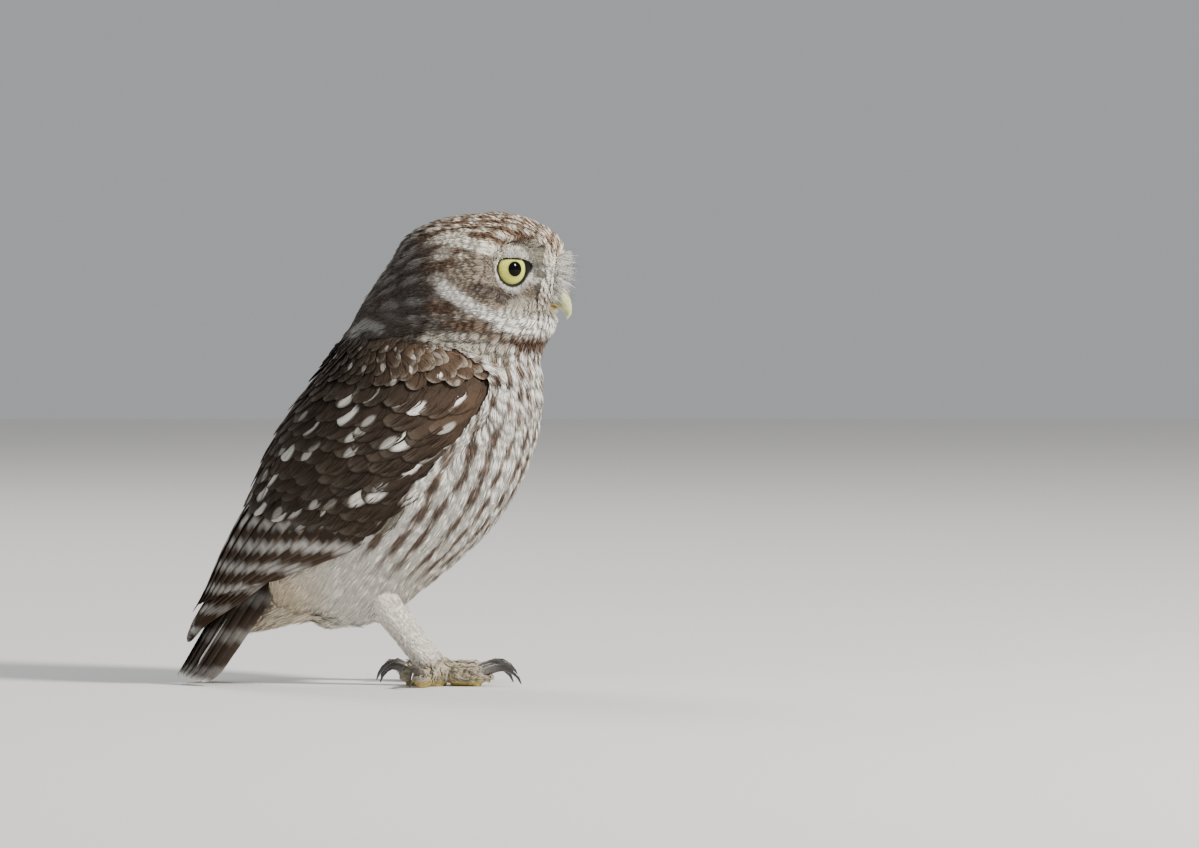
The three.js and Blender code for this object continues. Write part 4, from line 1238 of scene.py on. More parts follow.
def add_coverts(piece, numbers, total, parts_of, tone, rim, spot, size):
    """Adds the vanes of coverts, or the strands along their rims, to a piece."""
    points, shares, along, under, faces, per = parts_of
    count = len(points)
    light = blend(0.7, 1.06, smooth(0.1, 0.8, along)) * (1 + 0.1 * smooth(0.75, 1, np.abs(shares)))
    if faces is STRAND_FACES:
        light = light * (1 + 0.12 * np.sin(37 * shares[..., :1] + 5 * numbers[:, None, None]))
    tint = tone[:, None, :] * light.reshape(count, -1)[..., None]
    at_rim = smooth(0.8, 1.0, along).reshape(count, -1)[..., None]
    tint = blend(tint, paint("cream") * 0.6, rim[:, None, :] * at_rim)
    values = {
        "tint": tint,
        "bake": cells(numbers, total, shares.reshape(count, -1), along.reshape(count, -1), under),
        "vane": np.stack([shares, along], -1).reshape(count, -1, 2),
        "Spot": np.broadcast_to(spot[:, None], tint.shape),
        "Spot size": np.broadcast_to(size[:, None], tint.shape),
    }
    flat = {key: value.reshape(-1, per, value.shape[-1]) for key, value in values.items()}
    piece.add(points.reshape(-1, per, 3), faces, **flat)


class OWL_OT_coverts(bpy.types.Operator):
    """Lays the rows of coverts and scapulars on both wings and the mantle between them"""
    bl_idname = "owl.coverts"
    bl_label = "Coverts and mantle"

    def execute(self, context):
        brown, umber, cream = map(paint, ("brown", "umber", "cream"))
        mantle = Piece()
        for name, side in SIDES.items():
            rng = np.random.default_rng(31)
            rows = []
            for row in range(COVERT_ROWS):
                down = row / (COVERT_ROWS - 1)
                large = smooth(0, 0.6, down)
                count = round(blend(21, 13, large))
                shares = (np.arange(count) + 0.1 + 0.5 * (row % 2)) / count
                shares = np.clip(shares + 0.02 * rng.uniform(-1, 1, count), 0.004, 0.985)
                low = blend(COVERT_LOW_EDGE, COVERT_LOW_BACK, shares)
                heights = blend(COVERT_TOP, low, down ** 1.2) + 1.2 * rng.uniform(-1, 1, count)
                lengths = blend(10, 21.5, large) * rng.uniform(0.9, 1.1, count)
                widths = np.full(count, blend(3.3, 6.4, large))
                rows.append((shares, heights, lengths, widths, np.full(count, 1 / count)))
            shares, roots, lengths, widths, steps = (np.concatenate(column) for column in zip(*rows))
            spine, normals = wing_spines(shares, roots, lengths, side)
            spine = spine - normals * (1.5 * smooth(0.11, 0, shares) * smooth(70, 90, roots))[:, None, None]
            here, beside = (wrap_point(roots, wing_angle(roots, place)) for place in (shares, shares + steps))
            bank = -0.55 / np.linalg.norm(beside - here, axis=1)
            feathers = Feathers(spine, normals, lengths, widths, (-2.9, -0.7), bank, camber=0.06, hand=side)
            spot, size, seen = spot_marks(feathers, widths, rng)
            # The coverts are painted lighter and browner towards the wing's front and top, and darker towards
            # its back: painted light and shade over the wing's own dark brown.
            warm_lit_front = smooth(0, 42, seen[:, 0] + 0.35 * (seen[:, 2] - 100))[:, None]
            high = smooth(112, 128, seen[:, 2])[:, None]
            tone = blend(umber * 0.3, (brown + umber * 1.6) * 0.3, 0.03 + 0.6 * warm_lit_front + 0.37 * high * warm_lit_front)
            tone = tone * rng.uniform(0.82, 1.2, len(shares))[:, None]
            edge = smooth(0.06, 0.0, shares)[:, None] * smooth(120, 100, roots)[:, None]
            tone = blend(tone, cream * 0.5, 0.4 * edge)
            rim = 0.08 + 0.5 * warm_lit_front * smooth(108, 122, seen[:, 2])[:, None]
            inner = wing_angle(roots, shares) > MANTLE_EDGE
            vane = sheet_faces(*COVERT_VANE)
            body = vanes(feathers, *COVERT_VANE, covert_outline, rng, ragged=0.02)
            fringe = strands(feathers, soft_shape(19, fill=1.5, round_off=0.22), rng, ragged=0.035, loose=0.4,
                             thick=0.14, raise_by=0.08)
            wing = Piece()
            for chosen, piece in ((~inner, wing), (inner, mantle)):
                order = np.arange(chosen.sum()) + (inner.sum() * (side > 0) if piece is mantle else 0)
                total = chosen.sum() * (2 if piece is mantle else 1)
                looks = only(chosen, tone, rim, spot, size)
                parts_of = (*only(chosen, *body[:3]), body[3], vane, body[0].shape[1])
                add_coverts(piece, order, total, parts_of, *looks)
                parts_of = (*only(chosen, *fringe), 0.0, STRAND_FACES, 8)
                add_coverts(piece, order, total, parts_of, *looks)
            wing.build(f"covert_feathers_{name}", covert_material(), "plumage_brown", f"wing_coverts_{name}")
        mantle.build("mantle_feathers", covert_material(), "plumage_brown", "mantle")
        self.bed()
        return {"FINISHED"}

    def bed(self):
        """A dark downy sheet under the coverts, from one wing's edge over the back to the other's."""
        rows, columns = 16, 48
        share = 1 - np.abs(np.linspace(-1, 1, columns + 1))[None, :]
        low = blend(COVERT_LOW_EDGE, COVERT_LOW_BACK, share) - 3
        heights = blend(131, low, np.linspace(0, 1, rows + 1)[:, None])
        edge = edge_angle(heights) + DOWN_INSET
        angles = blend(edge, 2 * math.pi - edge, np.linspace(0, 1, columns + 1)[None, :])
        points = wrap_point(heights, angles)
        normals = wrap_normal(heights, angles)
        upper = points - normals * DOWN_DEPTH
        lower = points - normals * (DOWN_DEPTH + DOWN_THICKNESS)
        sheet = np.stack([upper, lower]).reshape(1, -1, 3)
        flat = np.stack([angles / 7, heights / 140], -1)
        places = np.stack([flat * (1, 0.48), flat * (1, 0.48) + (0, 0.5)]).reshape(1, -1, 2)
        piece = Piece()
        tint = np.broadcast_to(paint("umber") * 0.55, sheet.shape)
        piece.add(sheet, sheet_faces(rows, columns)[:, ::-1], tint=tint, bake=places)
        material = tinted_material("Wing down", grain=0.4, scale=900.0, roughness=0.9, bump=0.6)
        piece.build("wing_down", material, "plumage_brown")


def bar_mask(way, shares, outer):
    """Pale notches across a long feather: strong on its outer web, faint on the inner one."""
    wave = np.abs(((way + 0.07 * np.abs(shares)) % 1) - 0.5) * 2
    mask = smooth(0.5, 0.78, wave)
    web = shares * outer
    side = smooth(0.0, 0.3, web) * (1 - 0.5 * smooth(0.85, 1, web)) + 0.25 * smooth(0.3, 0.6, -web)
    return np.clip(mask * side, 0, 1)


def add_long_feathers(piece, feathers, number, total, tint_rule, rng):
    points, shares, along, under = vanes(feathers, *LONG_VANE, flight_outline, rng, ragged=0.006)
    tint = tint_rule(points, shares, along)
    bake = cells(number + np.arange(len(points)), total, shares, along, under)
    vane = np.stack([shares, along], -1)
    piece.add(points, sheet_faces(*LONG_VANE), tint=tint, bake=bake, vane=vane)


# Flight feathers of one wing. The pairs of room, root, tip, width and under are for the feathers at
# the wing's front edge and at its back: share of the way to the midline, heights of root and tip,
# half width, and the height where other feathers begin to cover it. The pair of level is the depth
# below the wing's outside where it is clear and where it is covered. Layer is the step in depth
# from one feather to the next.
FLIGHT_PLANS = {
    "secondaries": dict(
        count=10, room=(0.03, 0.96), root=(74, 90), tip=(42.5, 29.0), width=(5.2, 6.6),
        level=(1.3, 5.2), under=(54, 70), layer=0.7),
    "primaries": dict(
        count=7, room=(0.04, 0.56), root=(60, 60), tip=(17, 27), width=(3.7, 4.3),
        level=(2.6, 7.0), under=(24, 40), layer=0.7),
}


class OWL_OT_flight_feathers(bpy.types.Operator):
    """Lays the secondaries and primaries of both folded wings"""
    bl_idname = "owl.flight_feathers"
    bl_label = "Flight feathers"

    def execute(self, context):
        umber, white, brown = map(paint, ("umber", "white", "brown"))
        for name, side in SIDES.items():
            for kind, plan in FLIGHT_PLANS.items():
                rng = np.random.default_rng(47)
                count = plan["count"]
                order = np.linspace(0, 1, count)
                shares, tips, roots, under, widths = (
                    blend(*plan[key], order) for key in ("room", "tip", "root", "under", "width"))
                tips = tips + 0.4 * rng.uniform(-1, 1, count)
                heights = roots[:, None] + (tips - roots)[:, None] * np.linspace(0, 1, 13)
                angles = wing_angle(heights, shares[:, None])
                outside, normals = wing_places(heights, angles, side)
                under = under[:, None]
                level = blend(*plan["level"], smooth(under - 6, under + 16, heights))
                spine = outside - normals * level[..., None]
                beside = wing_angle(heights, shares[:, None] + shares[1] - shares[0])
                gap = np.linalg.norm(wrap_point(heights, beside) - wrap_point(heights, angles), axis=2)
                feathers = Feathers(spine, normals, spine_lengths(spine), widths, (0, 0),
                                    bank=-plan["layer"] / gap.mean(1), camber=0.06, hand=side)
                # The brown is kept dark: partly the feathers' own colour, partly painted shade.
                base = umber * 0.34 * rng.uniform(0.85, 1.15, count)[:, None]
                phase = 0.1 * rng.uniform(-1, 1, count)[:, None]

                def tint_rule(points, shares_across, along):
                    x, z = points[..., 0], points[..., 2]
                    way = (z - 55.6) / BAR_SPACING + 0.04 * (x + 40) / BAR_SPACING + phase
                    mask = bar_mask(way, shares_across, -1)[..., None]
                    # The pale bars are painted grey, at half the white: painted shade on the feathers' pale
                    # notches.
                    tint = blend(base[:, None, :], white * 0.5, 0.85 * mask)
                    rim = smooth(0.85, 1, np.abs(shares_across))[..., None] * 0.35 * (1 - mask)
                    tint = blend(tint, brown * 1.3, rim)
                    return blend(tint, white * 0.6, 0.35 * smooth(0.965, 1, along)[..., None])

                piece = Piece()
                add_long_feathers(piece, feathers, 0, count, tint_rule, rng)
                piece.build(f"{kind}_{name}_feathers", covert_material(), "flight_feathers",
                            f"wing_{kind}_{name}")
        return {"FINISHED"}


class OWL_OT_tail(bpy.types.Operator):
    """Lays the twelve feathers of the tail, arched over one another to its tip on the ground"""
    bl_idname = "owl.tail"
    bl_label = "Tail"

    def execute(self, context):
        umber, white = paint("umber"), paint("white")
        axis = unit(TAIL_END - TAIL_ROOT)
        back = np.array((axis[2], 0, -axis[0]))
        rng = np.random.default_rng(53)
        piece = Piece()
        pairs = np.arange(TAIL_PAIRS)
        for side in SIDES.values():
            way = np.linspace(0.06, 1, 13)[None, :] * (1.04 - 0.012 * pairs)[:, None]
            layer = pairs + np.where((pairs > 0) | (side < 0), 1, 0)
            drop = layer[:, None] * TAIL_OVERLAP
            angle = np.radians(6 + 15.5 * pairs)[:, None] * side
            depth = blend(*TAIL_DEPTH, np.clip(way, 0, 1)) - drop
            half = blend(*TAIL_WIDTH, np.clip(way, 0, 1)) - drop
            middle = TAIL_ROOT + (TAIL_END - TAIL_ROOT) * way[..., None]
            spine = middle + back * (depth * np.cos(angle))[..., None]
            spine[..., 1] += half * np.sin(angle)
            normals = back * (np.cos(angle) / depth * half)[..., None]
            normals = normals + np.array((0, 1, 0)) * np.sin(angle)[..., None]
            spine[..., 2] = np.maximum(spine[..., 2], TAIL_CLEARANCE)
            feathers = Feathers(spine, normals, spine_lengths(spine), blend(5.8, 5.2, pairs / 5), (0, 0),
                                bank=0.06, camber=0.05, hand=side)
            base = umber * 0.4 * rng.uniform(0.85, 1.15, TAIL_PAIRS)[:, None]

            def tint_rule(points, outer, along):
                points[..., 2] = np.maximum(points[..., 2], 0.05)
                way = (points[..., 2] - 20) / TAIL_BAR_SPACING + 0.05 * np.abs(outer)
                web = smooth(0, 0.25, outer) * smooth(0.98, 0.8, outer)
                mask = smooth(0.56, 0.8, np.abs((way % 1) - 0.5) * 2) * (0.35 + 0.65 * web)
                tint = blend(base[:, None, :], white * 0.55, 0.8 * mask[..., None])
                # The outer web's edge of the outermost pair is painted near white: a painted highlight along
                # a sunlit edge. The pale tips are the feathers' own.
                rim = smooth(0.72, 0.95, outer) * (pairs == 5)[:, None] + smooth(0.95, 1.0, along) * 0.85
                return blend(tint, white * 0.95, np.clip(rim, 0, 1)[..., None])

            add_long_feathers(piece, feathers, TAIL_PAIRS * (side > 0), 2 * TAIL_PAIRS, tint_rule, rng)
        piece.build("tail_feathers", covert_material(), "flight_feathers", "tail")
        return {"FINISHED"}


# Eyes, lids, bill and feet

def eye_frame(side):
    """Centre of an eye, the way it looks, and the ways to the bill and up across its face."""
    centre, _ = eye_place(side)
    axis = eye_axis(GAZE_OUTWARD, side)
    forward = unit(np.array([1.0, 0, 0]) - axis * axis[0])
    upward = unit(np.array([0, 0, 1.0]) - axis * axis[2])
    forward = unit(forward - upward * (forward @ upward))
    return centre, axis, forward, upward


def cornea(radius):
    """How far the cornea stands out of the eyeball, at a distance from its axis."""
    return CORNEA_SWELL * np.exp(-((radius / CORNEA_REACH) ** 2))


def ball_height(radius):
    """How far the eyeball stands before its centre, at a distance from its axis."""
    return np.sqrt(np.maximum(EYE_RADIUS ** 2 - radius ** 2, 1)) + cornea(radius)


def lid_edges(turn):
    """Inner edge and outer rim of the lids round the eye: flat above, drawn out towards the bill."""
    above = LID_TOP / np.maximum(np.sin(turn + 0.06), 0.05)
    inner = (IRIS_RADIUS ** -8.0 + above ** -8.0) ** (-1 / 8)
    # Towards the bill the dark lid is drawn out wide: the eye's black front corner, and partly painted shade
    # in that corner.
    from_front = (turn - 0.12 + math.pi) % (2 * math.pi) - math.pi
    front = 2.0 * np.exp(-((from_front / 0.4) ** 2))
    behind = 0.5 * np.exp(-(((turn - math.pi) / 0.3) ** 2))
    return inner, inner + 0.75 + front + behind


def eye_material(name, side):
    """Rings of colour round the eye's axis: pupil, iris and dark edge."""
    material = new_material(name, 0.12, Coat_Weight=0.12, Coat_Roughness=0.02, Specular_IOR_Level=0.04)
    nodes, links = material.node_tree.nodes, material.node_tree.links
    centre, axis, _, _ = eye_frame(side)
    place = add_node(nodes, "TexCoord")
    from_centre = add_node(nodes, "VectorMath", "SUBTRACT")
    across = add_node(nodes, "VectorMath", "CROSS_PRODUCT")
    radius = add_node(nodes, "VectorMath", "LENGTH")
    from_centre.inputs[1].default_value = tuple((centre + (FORWARD, 0, 0)) / 1000)
    across.inputs[1].default_value = tuple(axis)
    links.new(place.outputs["Object"], from_centre.inputs[0])
    links.new(from_centre.outputs[0], across.inputs[0])
    links.new(across.outputs[0], radius.inputs[0])
    ramp = add_node(nodes, "MapRange", From_Min=0, From_Max=EYE_RINGS)
    links.new(radius.outputs["Value"], ramp.inputs["Value"])
    rings = add_node(nodes, "ValToRGB")
    links.new(ramp.outputs[0], rings.inputs["Fac"])
    pupil, edge = parts().pupil / EYE_RINGS, IRIS_RADIUS / 1000 / EYE_RINGS
    iris, black = np.array(parts().iris), (0.002, 0.002, 0.002)
    stops = [
        (0.0, black),
        (pupil - 0.01, black),
        (pupil + 0.015, iris * 0.55),
        (pupil + 0.08, iris * 0.95),
        (edge - 0.14, iris * 1.05),
        (edge - 0.04, iris * 0.7),
        (edge - 0.01, (0.02, 0.02, 0.008)),
        (edge + 0.02, (0.004, 0.004, 0.004)),
    ]
    line = rings.color_ramp
    for stop, element in ((stops[0], line.elements[0]), (stops[-1], line.elements[1])):
        element.position = stop[0]
        element.color = (*stop[1], 1)
    for position, colour in stops[1:-1]:
        line.elements.new(position).color = (*colour, 1)
    add_grained_colour(material, rings.outputs["Color"], 1800, 0.25)
    return material


def socket_edge(surface, frame_of_eye, turn):
    """Where the skin's edge lies round an eye: distance from its axis and height before its centre."""
    centre, axis, forward, upward = frame_of_eye
    edge = []
    for angle in turn:
        out = math.cos(angle) * forward + math.sin(angle) * upward
        for ring in np.arange(7.2, 12, 0.2):
            start = centre + out * ring + axis * 25
            hit = surface.tree.ray_cast(start.tolist(), (-axis).tolist(), 22)[0]
            if hit is not None:
                break
        edge.append((ring, 6.5 if hit is None else (np.array(hit) - centre) @ axis))
    edge = np.array(edge)
    around = np.stack([np.roll(edge, k, axis=0) for k in range(-5, 6)])
    return around.mean(0).T


class OWL_OT_eyes(bpy.types.Operator):
    """Makes the eyeballs with their swollen corneas, and the dark lids round them"""
    bl_idname = "owl.eyes"
    bl_label = "Eyes and lids"

    def execute(self, context):
        surface = Surface(bpy.data.objects["skin"])
        for name, side in SIDES.items():
            centre, axis, forward, upward = eye_frame(side)
            bpy.ops.object.select_all(action="DESELECT")
            bpy.ops.mesh.primitive_uv_sphere_add(segments=64, ring_count=40, radius=EYE_RADIUS / 1000)
            thing = context.object
            thing.name = thing.data.name = f"eyeball_{name}"
            points = coordinates(thing.data) * 1000
            off_axis = np.hypot(points[:, 0], points[:, 1])
            points[:, 2] += np.where(points[:, 2] > 0, cornea(off_axis), 0)
            turn = np.stack([np.cross(upward, axis), upward, axis])
            put_places(thing.data, points @ turn + centre)
            select_only(thing)
            bpy.ops.object.shade_smooth()
            finish_piece(thing, eye_material(f"Eye {name}", side), "eye", f"eye_{name}")
            self.lids(name, surface, centre, axis, forward, upward, side)
        return {"FINISHED"}

    def lids(self, name, surface, centre, axis, forward, upward, side):
        """Makes a ring of lids, from inside their edge to under the skin's edge and back."""
        around, across = 96, 8
        turn = np.arange(around) / around * 2 * math.pi
        inner, rim = lid_edges(turn)
        outer, top = socket_edge(surface, (centre, axis, forward, upward), turn)
        rim = np.minimum(rim, outer - 0.3)
        level = ball_height(inner)
        to_skin = blend(level + 0.5, top, (rim - inner) / (outer - inner))
        rim_level = np.maximum(ball_height(rim) + 0.4, to_skin)
        section = [
            (inner - 0.15, level - 0.1), (inner, level + 0.35), (inner + 0.3, level + 0.5),
            (rim, rim_level), (outer + 0.1, top - 0.7), (outer + 1, top - 1.7),
            (outer + 1, top - 2.6), (inner + 0.3, level - 0.9),
        ]
        radii, heights = (np.stack(column, 1) for column in zip(*section))
        ring = np.cos(turn)[:, None] * forward + np.sin(turn)[:, None] * upward
        points = centre + ring[:, None, :] * radii[..., None] + axis * heights[..., None]
        faces = []
        for i in range(around):
            for j in range(across):
                a, b = i * across + j, i * across + (j + 1) % across
                c, d = (i + 1) % around * across + (j + 1) % across, (i + 1) % around * across + j
                faces.append((a, b, c, d) if side < 0 else (a, d, c, b))
        thing = new_thing(f"lids_{name}", points.reshape(-1, 3), faces)
        apply_modifier(thing, "SUBSURF", levels=1, render_levels=1)
        places = owl_places(thing.data)
        offset = places - centre
        ring = np.arctan2(offset @ upward, offset @ forward)
        gap = np.linalg.norm(offset - (offset @ axis)[:, None] * axis, axis=1) - lid_edges(ring)[1]
        bare = np.full(3, 0.006)
        set_tint(thing.data, blend(bare, dress(places) * 0.4, smooth(-0.1, 0.6, gap)[:, None]))
        bpy.ops.object.shade_smooth()
        material = tinted_material("Eyelid", grain=0.4, scale=1200.0, roughness=0.7, bump=0.5,
                                   Specular_IOR_Level=0.15)
        finish_piece(thing, material, "eyelid", f"eyelids_{name}")


class OWL_OT_bill(bpy.types.Operator):
    """Smooths the bill and colours its ridge, sides and edge"""
    bl_idname = "owl.bill"
    bl_label = "Bill"

    def execute(self, context):
        for name, node in (("upper_bill", "bill_upper"), ("lower_bill", "bill_lower")):
            thing = smooth_copy(name, [node], voxel=0.00025, rounds=5)
            places = coordinates(thing.data)
            if name == "lower_bill":
                places[:, 2] += LOWER_BILL_RAISE / 1000
                thing.data.vertices.foreach_set("co", places.ravel())
            points = turned(places * 1000 - (FORWARD, 0, 0), back=True)
            x, y, z = points[:, 0], np.abs(points[:, 1]), points[:, 2]
            ridge = np.array(parts().bill)
            # The sides are painted darker and greener than the ridge: partly the horn's own grey-green,
            # partly painted shade on the sides and painted light on the ridge.
            shaded_bill_side = ridge * (0.3, 0.38, 0.5)
            tip = np.array((0.52, 0.5, 0.28))
            tint = blend(ridge, shaded_bill_side, smooth(0.9, 2.6, y)[:, None] * smooth(75, 71.5, x)[:, None])
            tint = blend(tint, tip, smooth(147, 143, z)[:, None] * smooth(71, 73.5, x)[:, None])
            gape = smooth(1.8, 0.6, np.abs(z - 147.5)) * smooth(73, 70, x)
            tint = blend(tint, np.array((0.5, 0.34, 0.1)), 0.7 * gape[:, None])
            set_tint(thing.data, tint)
            material = tinted_material("Bill horn", grain=0.25, scale=500.0, roughness=0.32, bump=0.15,
                                       Coat_Weight=0.2)
            finish_piece(thing, material, "bill", node)
        return {"FINISHED"}


TOES = ("hind", "inner", "middle", "outer")


class OWL_OT_feet(bpy.types.Operator):
    """Makes the bristled toes with their yellow pads, and the claws"""
    bl_idname = "owl.feet"
    bl_label = "Feet"

    def execute(self, context):
        rng = np.random.default_rng(61)
        toe, claw = np.array(parts().toe), np.array(parts().claw)
        horn = tinted_material("Claw horn", grain=0.3, scale=500.0, roughness=0.25, bump=0.12,
                               Coat_Weight=0.3)
        hide = tinted_material("Toe hide", grain=0.5, scale=1300.0, roughness=0.6, bump=0.9)
        piece = Piece()
        for name, side in SIDES.items():
            nodes = [f"foot_{name}"] + [f"toe_{which}_{name}" for which in TOES]
            thing = smooth_copy(f"toes_{name}", nodes, voxel=0.0004, swell=0.00022, rounds=6)
            mesh = thing.data
            points = coordinates(mesh)
            points[:, 2] = np.maximum(points[:, 2], 0.0)
            points -= normals_of(mesh) * 0.00035 * (points[:, 2:] > 0.0006)
            mesh.vertices.foreach_set("co", points.ravel())
            points = points * 1000 - (FORWARD, 0, 0)
            high = smooth(1.5, 6, points[:, 2])[:, None]
            set_tint(mesh, blend(toe, paint("cream") * (0.5, 0.46, 0.4), high))
            finish_piece(thing, hide, "toe", *nodes)
            surface = Surface(thing)

            centre = np.array((FOOT_FORWARD, side * LEG_SPREAD))
            upper = surface.places[(surface.places[:, 2] > 2.2)]
            pick = upper[rng.choice(len(upper), TOE_BRISTLES, replace=False)]
            away = np.concatenate([pick[:, :2] - centre, np.full((len(pick), 1), -1.5)], 1)
            lengths = rng.uniform(2.6, 4.6, len(pick))
            spine, normals = march(surface, pick, away, lengths, steps=3, cling=0.55)
            feathers = Feathers(spine, normals, lengths, 0.55, (-0.2, 1.0))

            def colour(points):
                uneven = rng.uniform(0.6, 1.3, len(points))[:, None, None, None]
                return paint("cream") * (0.62, 0.6, 0.54) * uneven

            place = (pick[:, :2] - pick[:, :2].min(0)) / np.ptp(pick[:, :2], axis=0).max()
            place = place * (0.48, 1) + (0.5 * (side > 0), 0)
            grow(piece, feathers, soft_shape(4), rng, colour, place, {}, loose=0.3)
            for which in TOES:
                node = f"claw_{which}_{name}"
                nail = smooth_copy(f"nail_{which}_{name}", [node], voxel=0.00022, rounds=3)
                shape = owl_places(nail.data)
                reach = np.hypot(*(shape[:, :2] - centre).T)
                base = smooth(reach.max() - 6, reach.min(), reach)[:, None]
                set_tint(nail.data, blend(claw, claw * 4 + 0.05, base))
                finish_piece(nail, horn, "claw", node)
        piece.build("toe_bristles", feather_material(), "plumage_pale")
        return {"FINISHED"}


class OWL_OT_face(bpy.types.Operator):
    """Grows the fine feathers round the eyes, those of the forehead, and the bristles at the bill"""
    bl_idname = "owl.face"
    bl_label = "Face"

    def execute(self, context):
        lids = [bpy.data.objects[f"lids_{name}"] for name in SIDES]
        surface = Surface(bpy.data.objects["skin"], *lids)
        rng = np.random.default_rng(71)
        for name, side in SIDES.items():
            piece = Piece()
            centre, axis, forward, upward = eye_frame(side)
            ring, turn, rows = [], [], []
            for row in range(FACE_ROWS):
                spacing = blend(0.7, 1.25, row / (FACE_ROWS - 1))
                count = int(2 * math.pi * (6.5 + FACE_ROW_STEP * row) / spacing)
                way = np.arange(count) + 0.5 * (row % 2) + 0.3 * rng.uniform(-1, 1, count)
                way = way / count * 2 * math.pi
                _, rim = lid_edges(way)
                start = blend(rim - 0.3, 7.4, smooth(0, 5, row))
                ring.append(start + FACE_ROW_STEP * row + 0.25 * rng.uniform(-1, 1, count))
                turn.append(way)
                rows.append(np.full(count, row))
            ring, turn, rows = np.concatenate(ring), np.concatenate(turn), np.concatenate(rows)
            out = np.cos(turn)[:, None] * forward + np.sin(turn)[:, None] * upward
            roots = centre + out * ring[:, None]
            heights = np.array([surface.height_along(root, axis) for root in roots])
            roots = roots + axis * heights[:, None]
            straight = turned(roots, back=True)
            keep = (straight[:, 1] * side > 1.2) & (heights > 3)
            keep &= ring < blend(17, 12.5, smooth(-0.2, 0.5, np.sin(turn)))
            ring, turn, rows, out, roots = only(keep, ring, turn, rows, out, roots)
            lengths = blend(2.6, 6.0, smooth(0, 11, rows)) * rng.uniform(0.85, 1.15, len(ring))
            brow = smooth(0.3, 0.8, np.sin(turn)) * smooth(6, 2, rows)
            ahead = (out + (0, 0, -0.12)) * lengths[:, None]
            spine = roots[:, None] + ahead[:, None] * np.linspace(0, 1, 5)[:, None]
            rise = np.array([[surface.height_along(place, axis, 12) for place in line] for line in spine])
            for step in range(1, 5):
                rise[:, step] = np.maximum(rise[:, step], rise[:, step - 1] - 0.25 * lengths)
            spine = spine + axis * rise[..., None]
            run = unit(np.gradient(spine, axis=1))
            normals = unit(axis - run * (run @ axis)[..., None])
            keep = clear_of_bill(spine, allow=0.2)
            spine, normals, lengths, ring, turn, rows, brow = only(
                keep, spine, normals, lengths, ring, turn, rows, brow)
            lift_root, lift_tip = np.full(len(ring), -0.15), 0.45 + 0.9 * smooth(1, 8, rows) + 0.8 * brow
            steps = np.linspace(0, 1, spine.shape[1])
            spine = spine + normals * blend(lift_root[:, None], lift_tip[:, None], steps)[..., None]
            widths = blend(0.65, 1.05, rows / (FACE_ROWS - 1))
            feathers = Feathers(spine, normals, lengths, widths, (0, 0))

            def colour(points):
                far = smooth(0, 2.5, rows)[:, None, None, None]
                tone = blend(paint("white") * 0.7, dress(points), far)
                return tone * rng.uniform(0.72, 1.2, len(points))[:, None, None, None]

            place = np.stack([ring * np.cos(turn), ring * np.sin(turn)], -1) / 44
            grow(piece, feathers, soft_shape(6, fill=1.3), rng, colour, place,
                 dict(grain=0.16, dark_root=0.3), ragged=0.1, loose=0.35, thick=0.1)
            piece.build(f"face_feathers_{name}", feather_material(), "plumage_pale")
        self.forehead(surface, rng)
        self.bristles(surface, rng)
        return {"FINISHED"}

    def bristles(self, surface, rng):
        """Adds fine pale feathers and long dark bristles before the eyes, beside the bill."""
        piece = Piece()
        for side in SIDES.values():
            count = BILL_BRISTLES
            x = rng.uniform(63, 73, count)
            z = rng.uniform(153, 167, count)
            straight = np.stack([x, side * rng.uniform(1.5, 9, count), z], 1)
            roots, normals = surface.nearest(turned(straight))
            long = rng.uniform(0, 1, count) < 0.15
            lengths = np.where(long, rng.uniform(6, 10, count), rng.uniform(4, 7.5, count))
            ahead = np.stack([np.full(count, 1.0), side * rng.uniform(-0.1, 0.4, count),
                              (z - 157) * 0.09 - 0.25 + 0.18 * rng.standard_normal(count)], 1)
            ahead = unit(turned(turned(roots, back=True) + unit(ahead)) - roots)
            steps = np.linspace(0, 1, 5)
            reach = roots[:, None, :] + ahead[:, None, :] * (lengths[:, None] * steps)[..., None]
            reach[..., 2] -= (lengths[:, None] * 0.25) * steps ** 2
            keep = clear_of_bill(reach, allow=1.4)
            reach, normals, lengths, long = only(keep, reach, normals, lengths, long)
            frames = np.repeat(normals[:, None, :], 5, 1)
            kinds = [
                (long, soft_shape(1), 0.045, paint("umber") * 0.3),
                (~long, soft_shape(3, fill=0.8), 0.45, paint("white") * 0.85),
            ]
            for chosen, shape, width, tone in kinds:
                feathers = Feathers(*only(chosen, reach, frames, lengths), width, (0.0, 0.2))
                points, across, along = strands(feathers, shape, rng, thick=0.06)
                number = len(points)
                ground = tone * rng.uniform(0.7, 1.15, number)[:, None]
                tint = shade(ground[:, None, None], along, rng, fringe=-0.3, dark_root=0.1)
                sideways = rng.uniform(0, 0.45, number) + 0.5 * (side > 0)
                place = np.stack([sideways, rng.uniform(0, 1, number)], -1)
                piece.add_strands(points, tint, across, along, place)
        piece.build("bill_bristles", feather_material(), "plumage_pale")

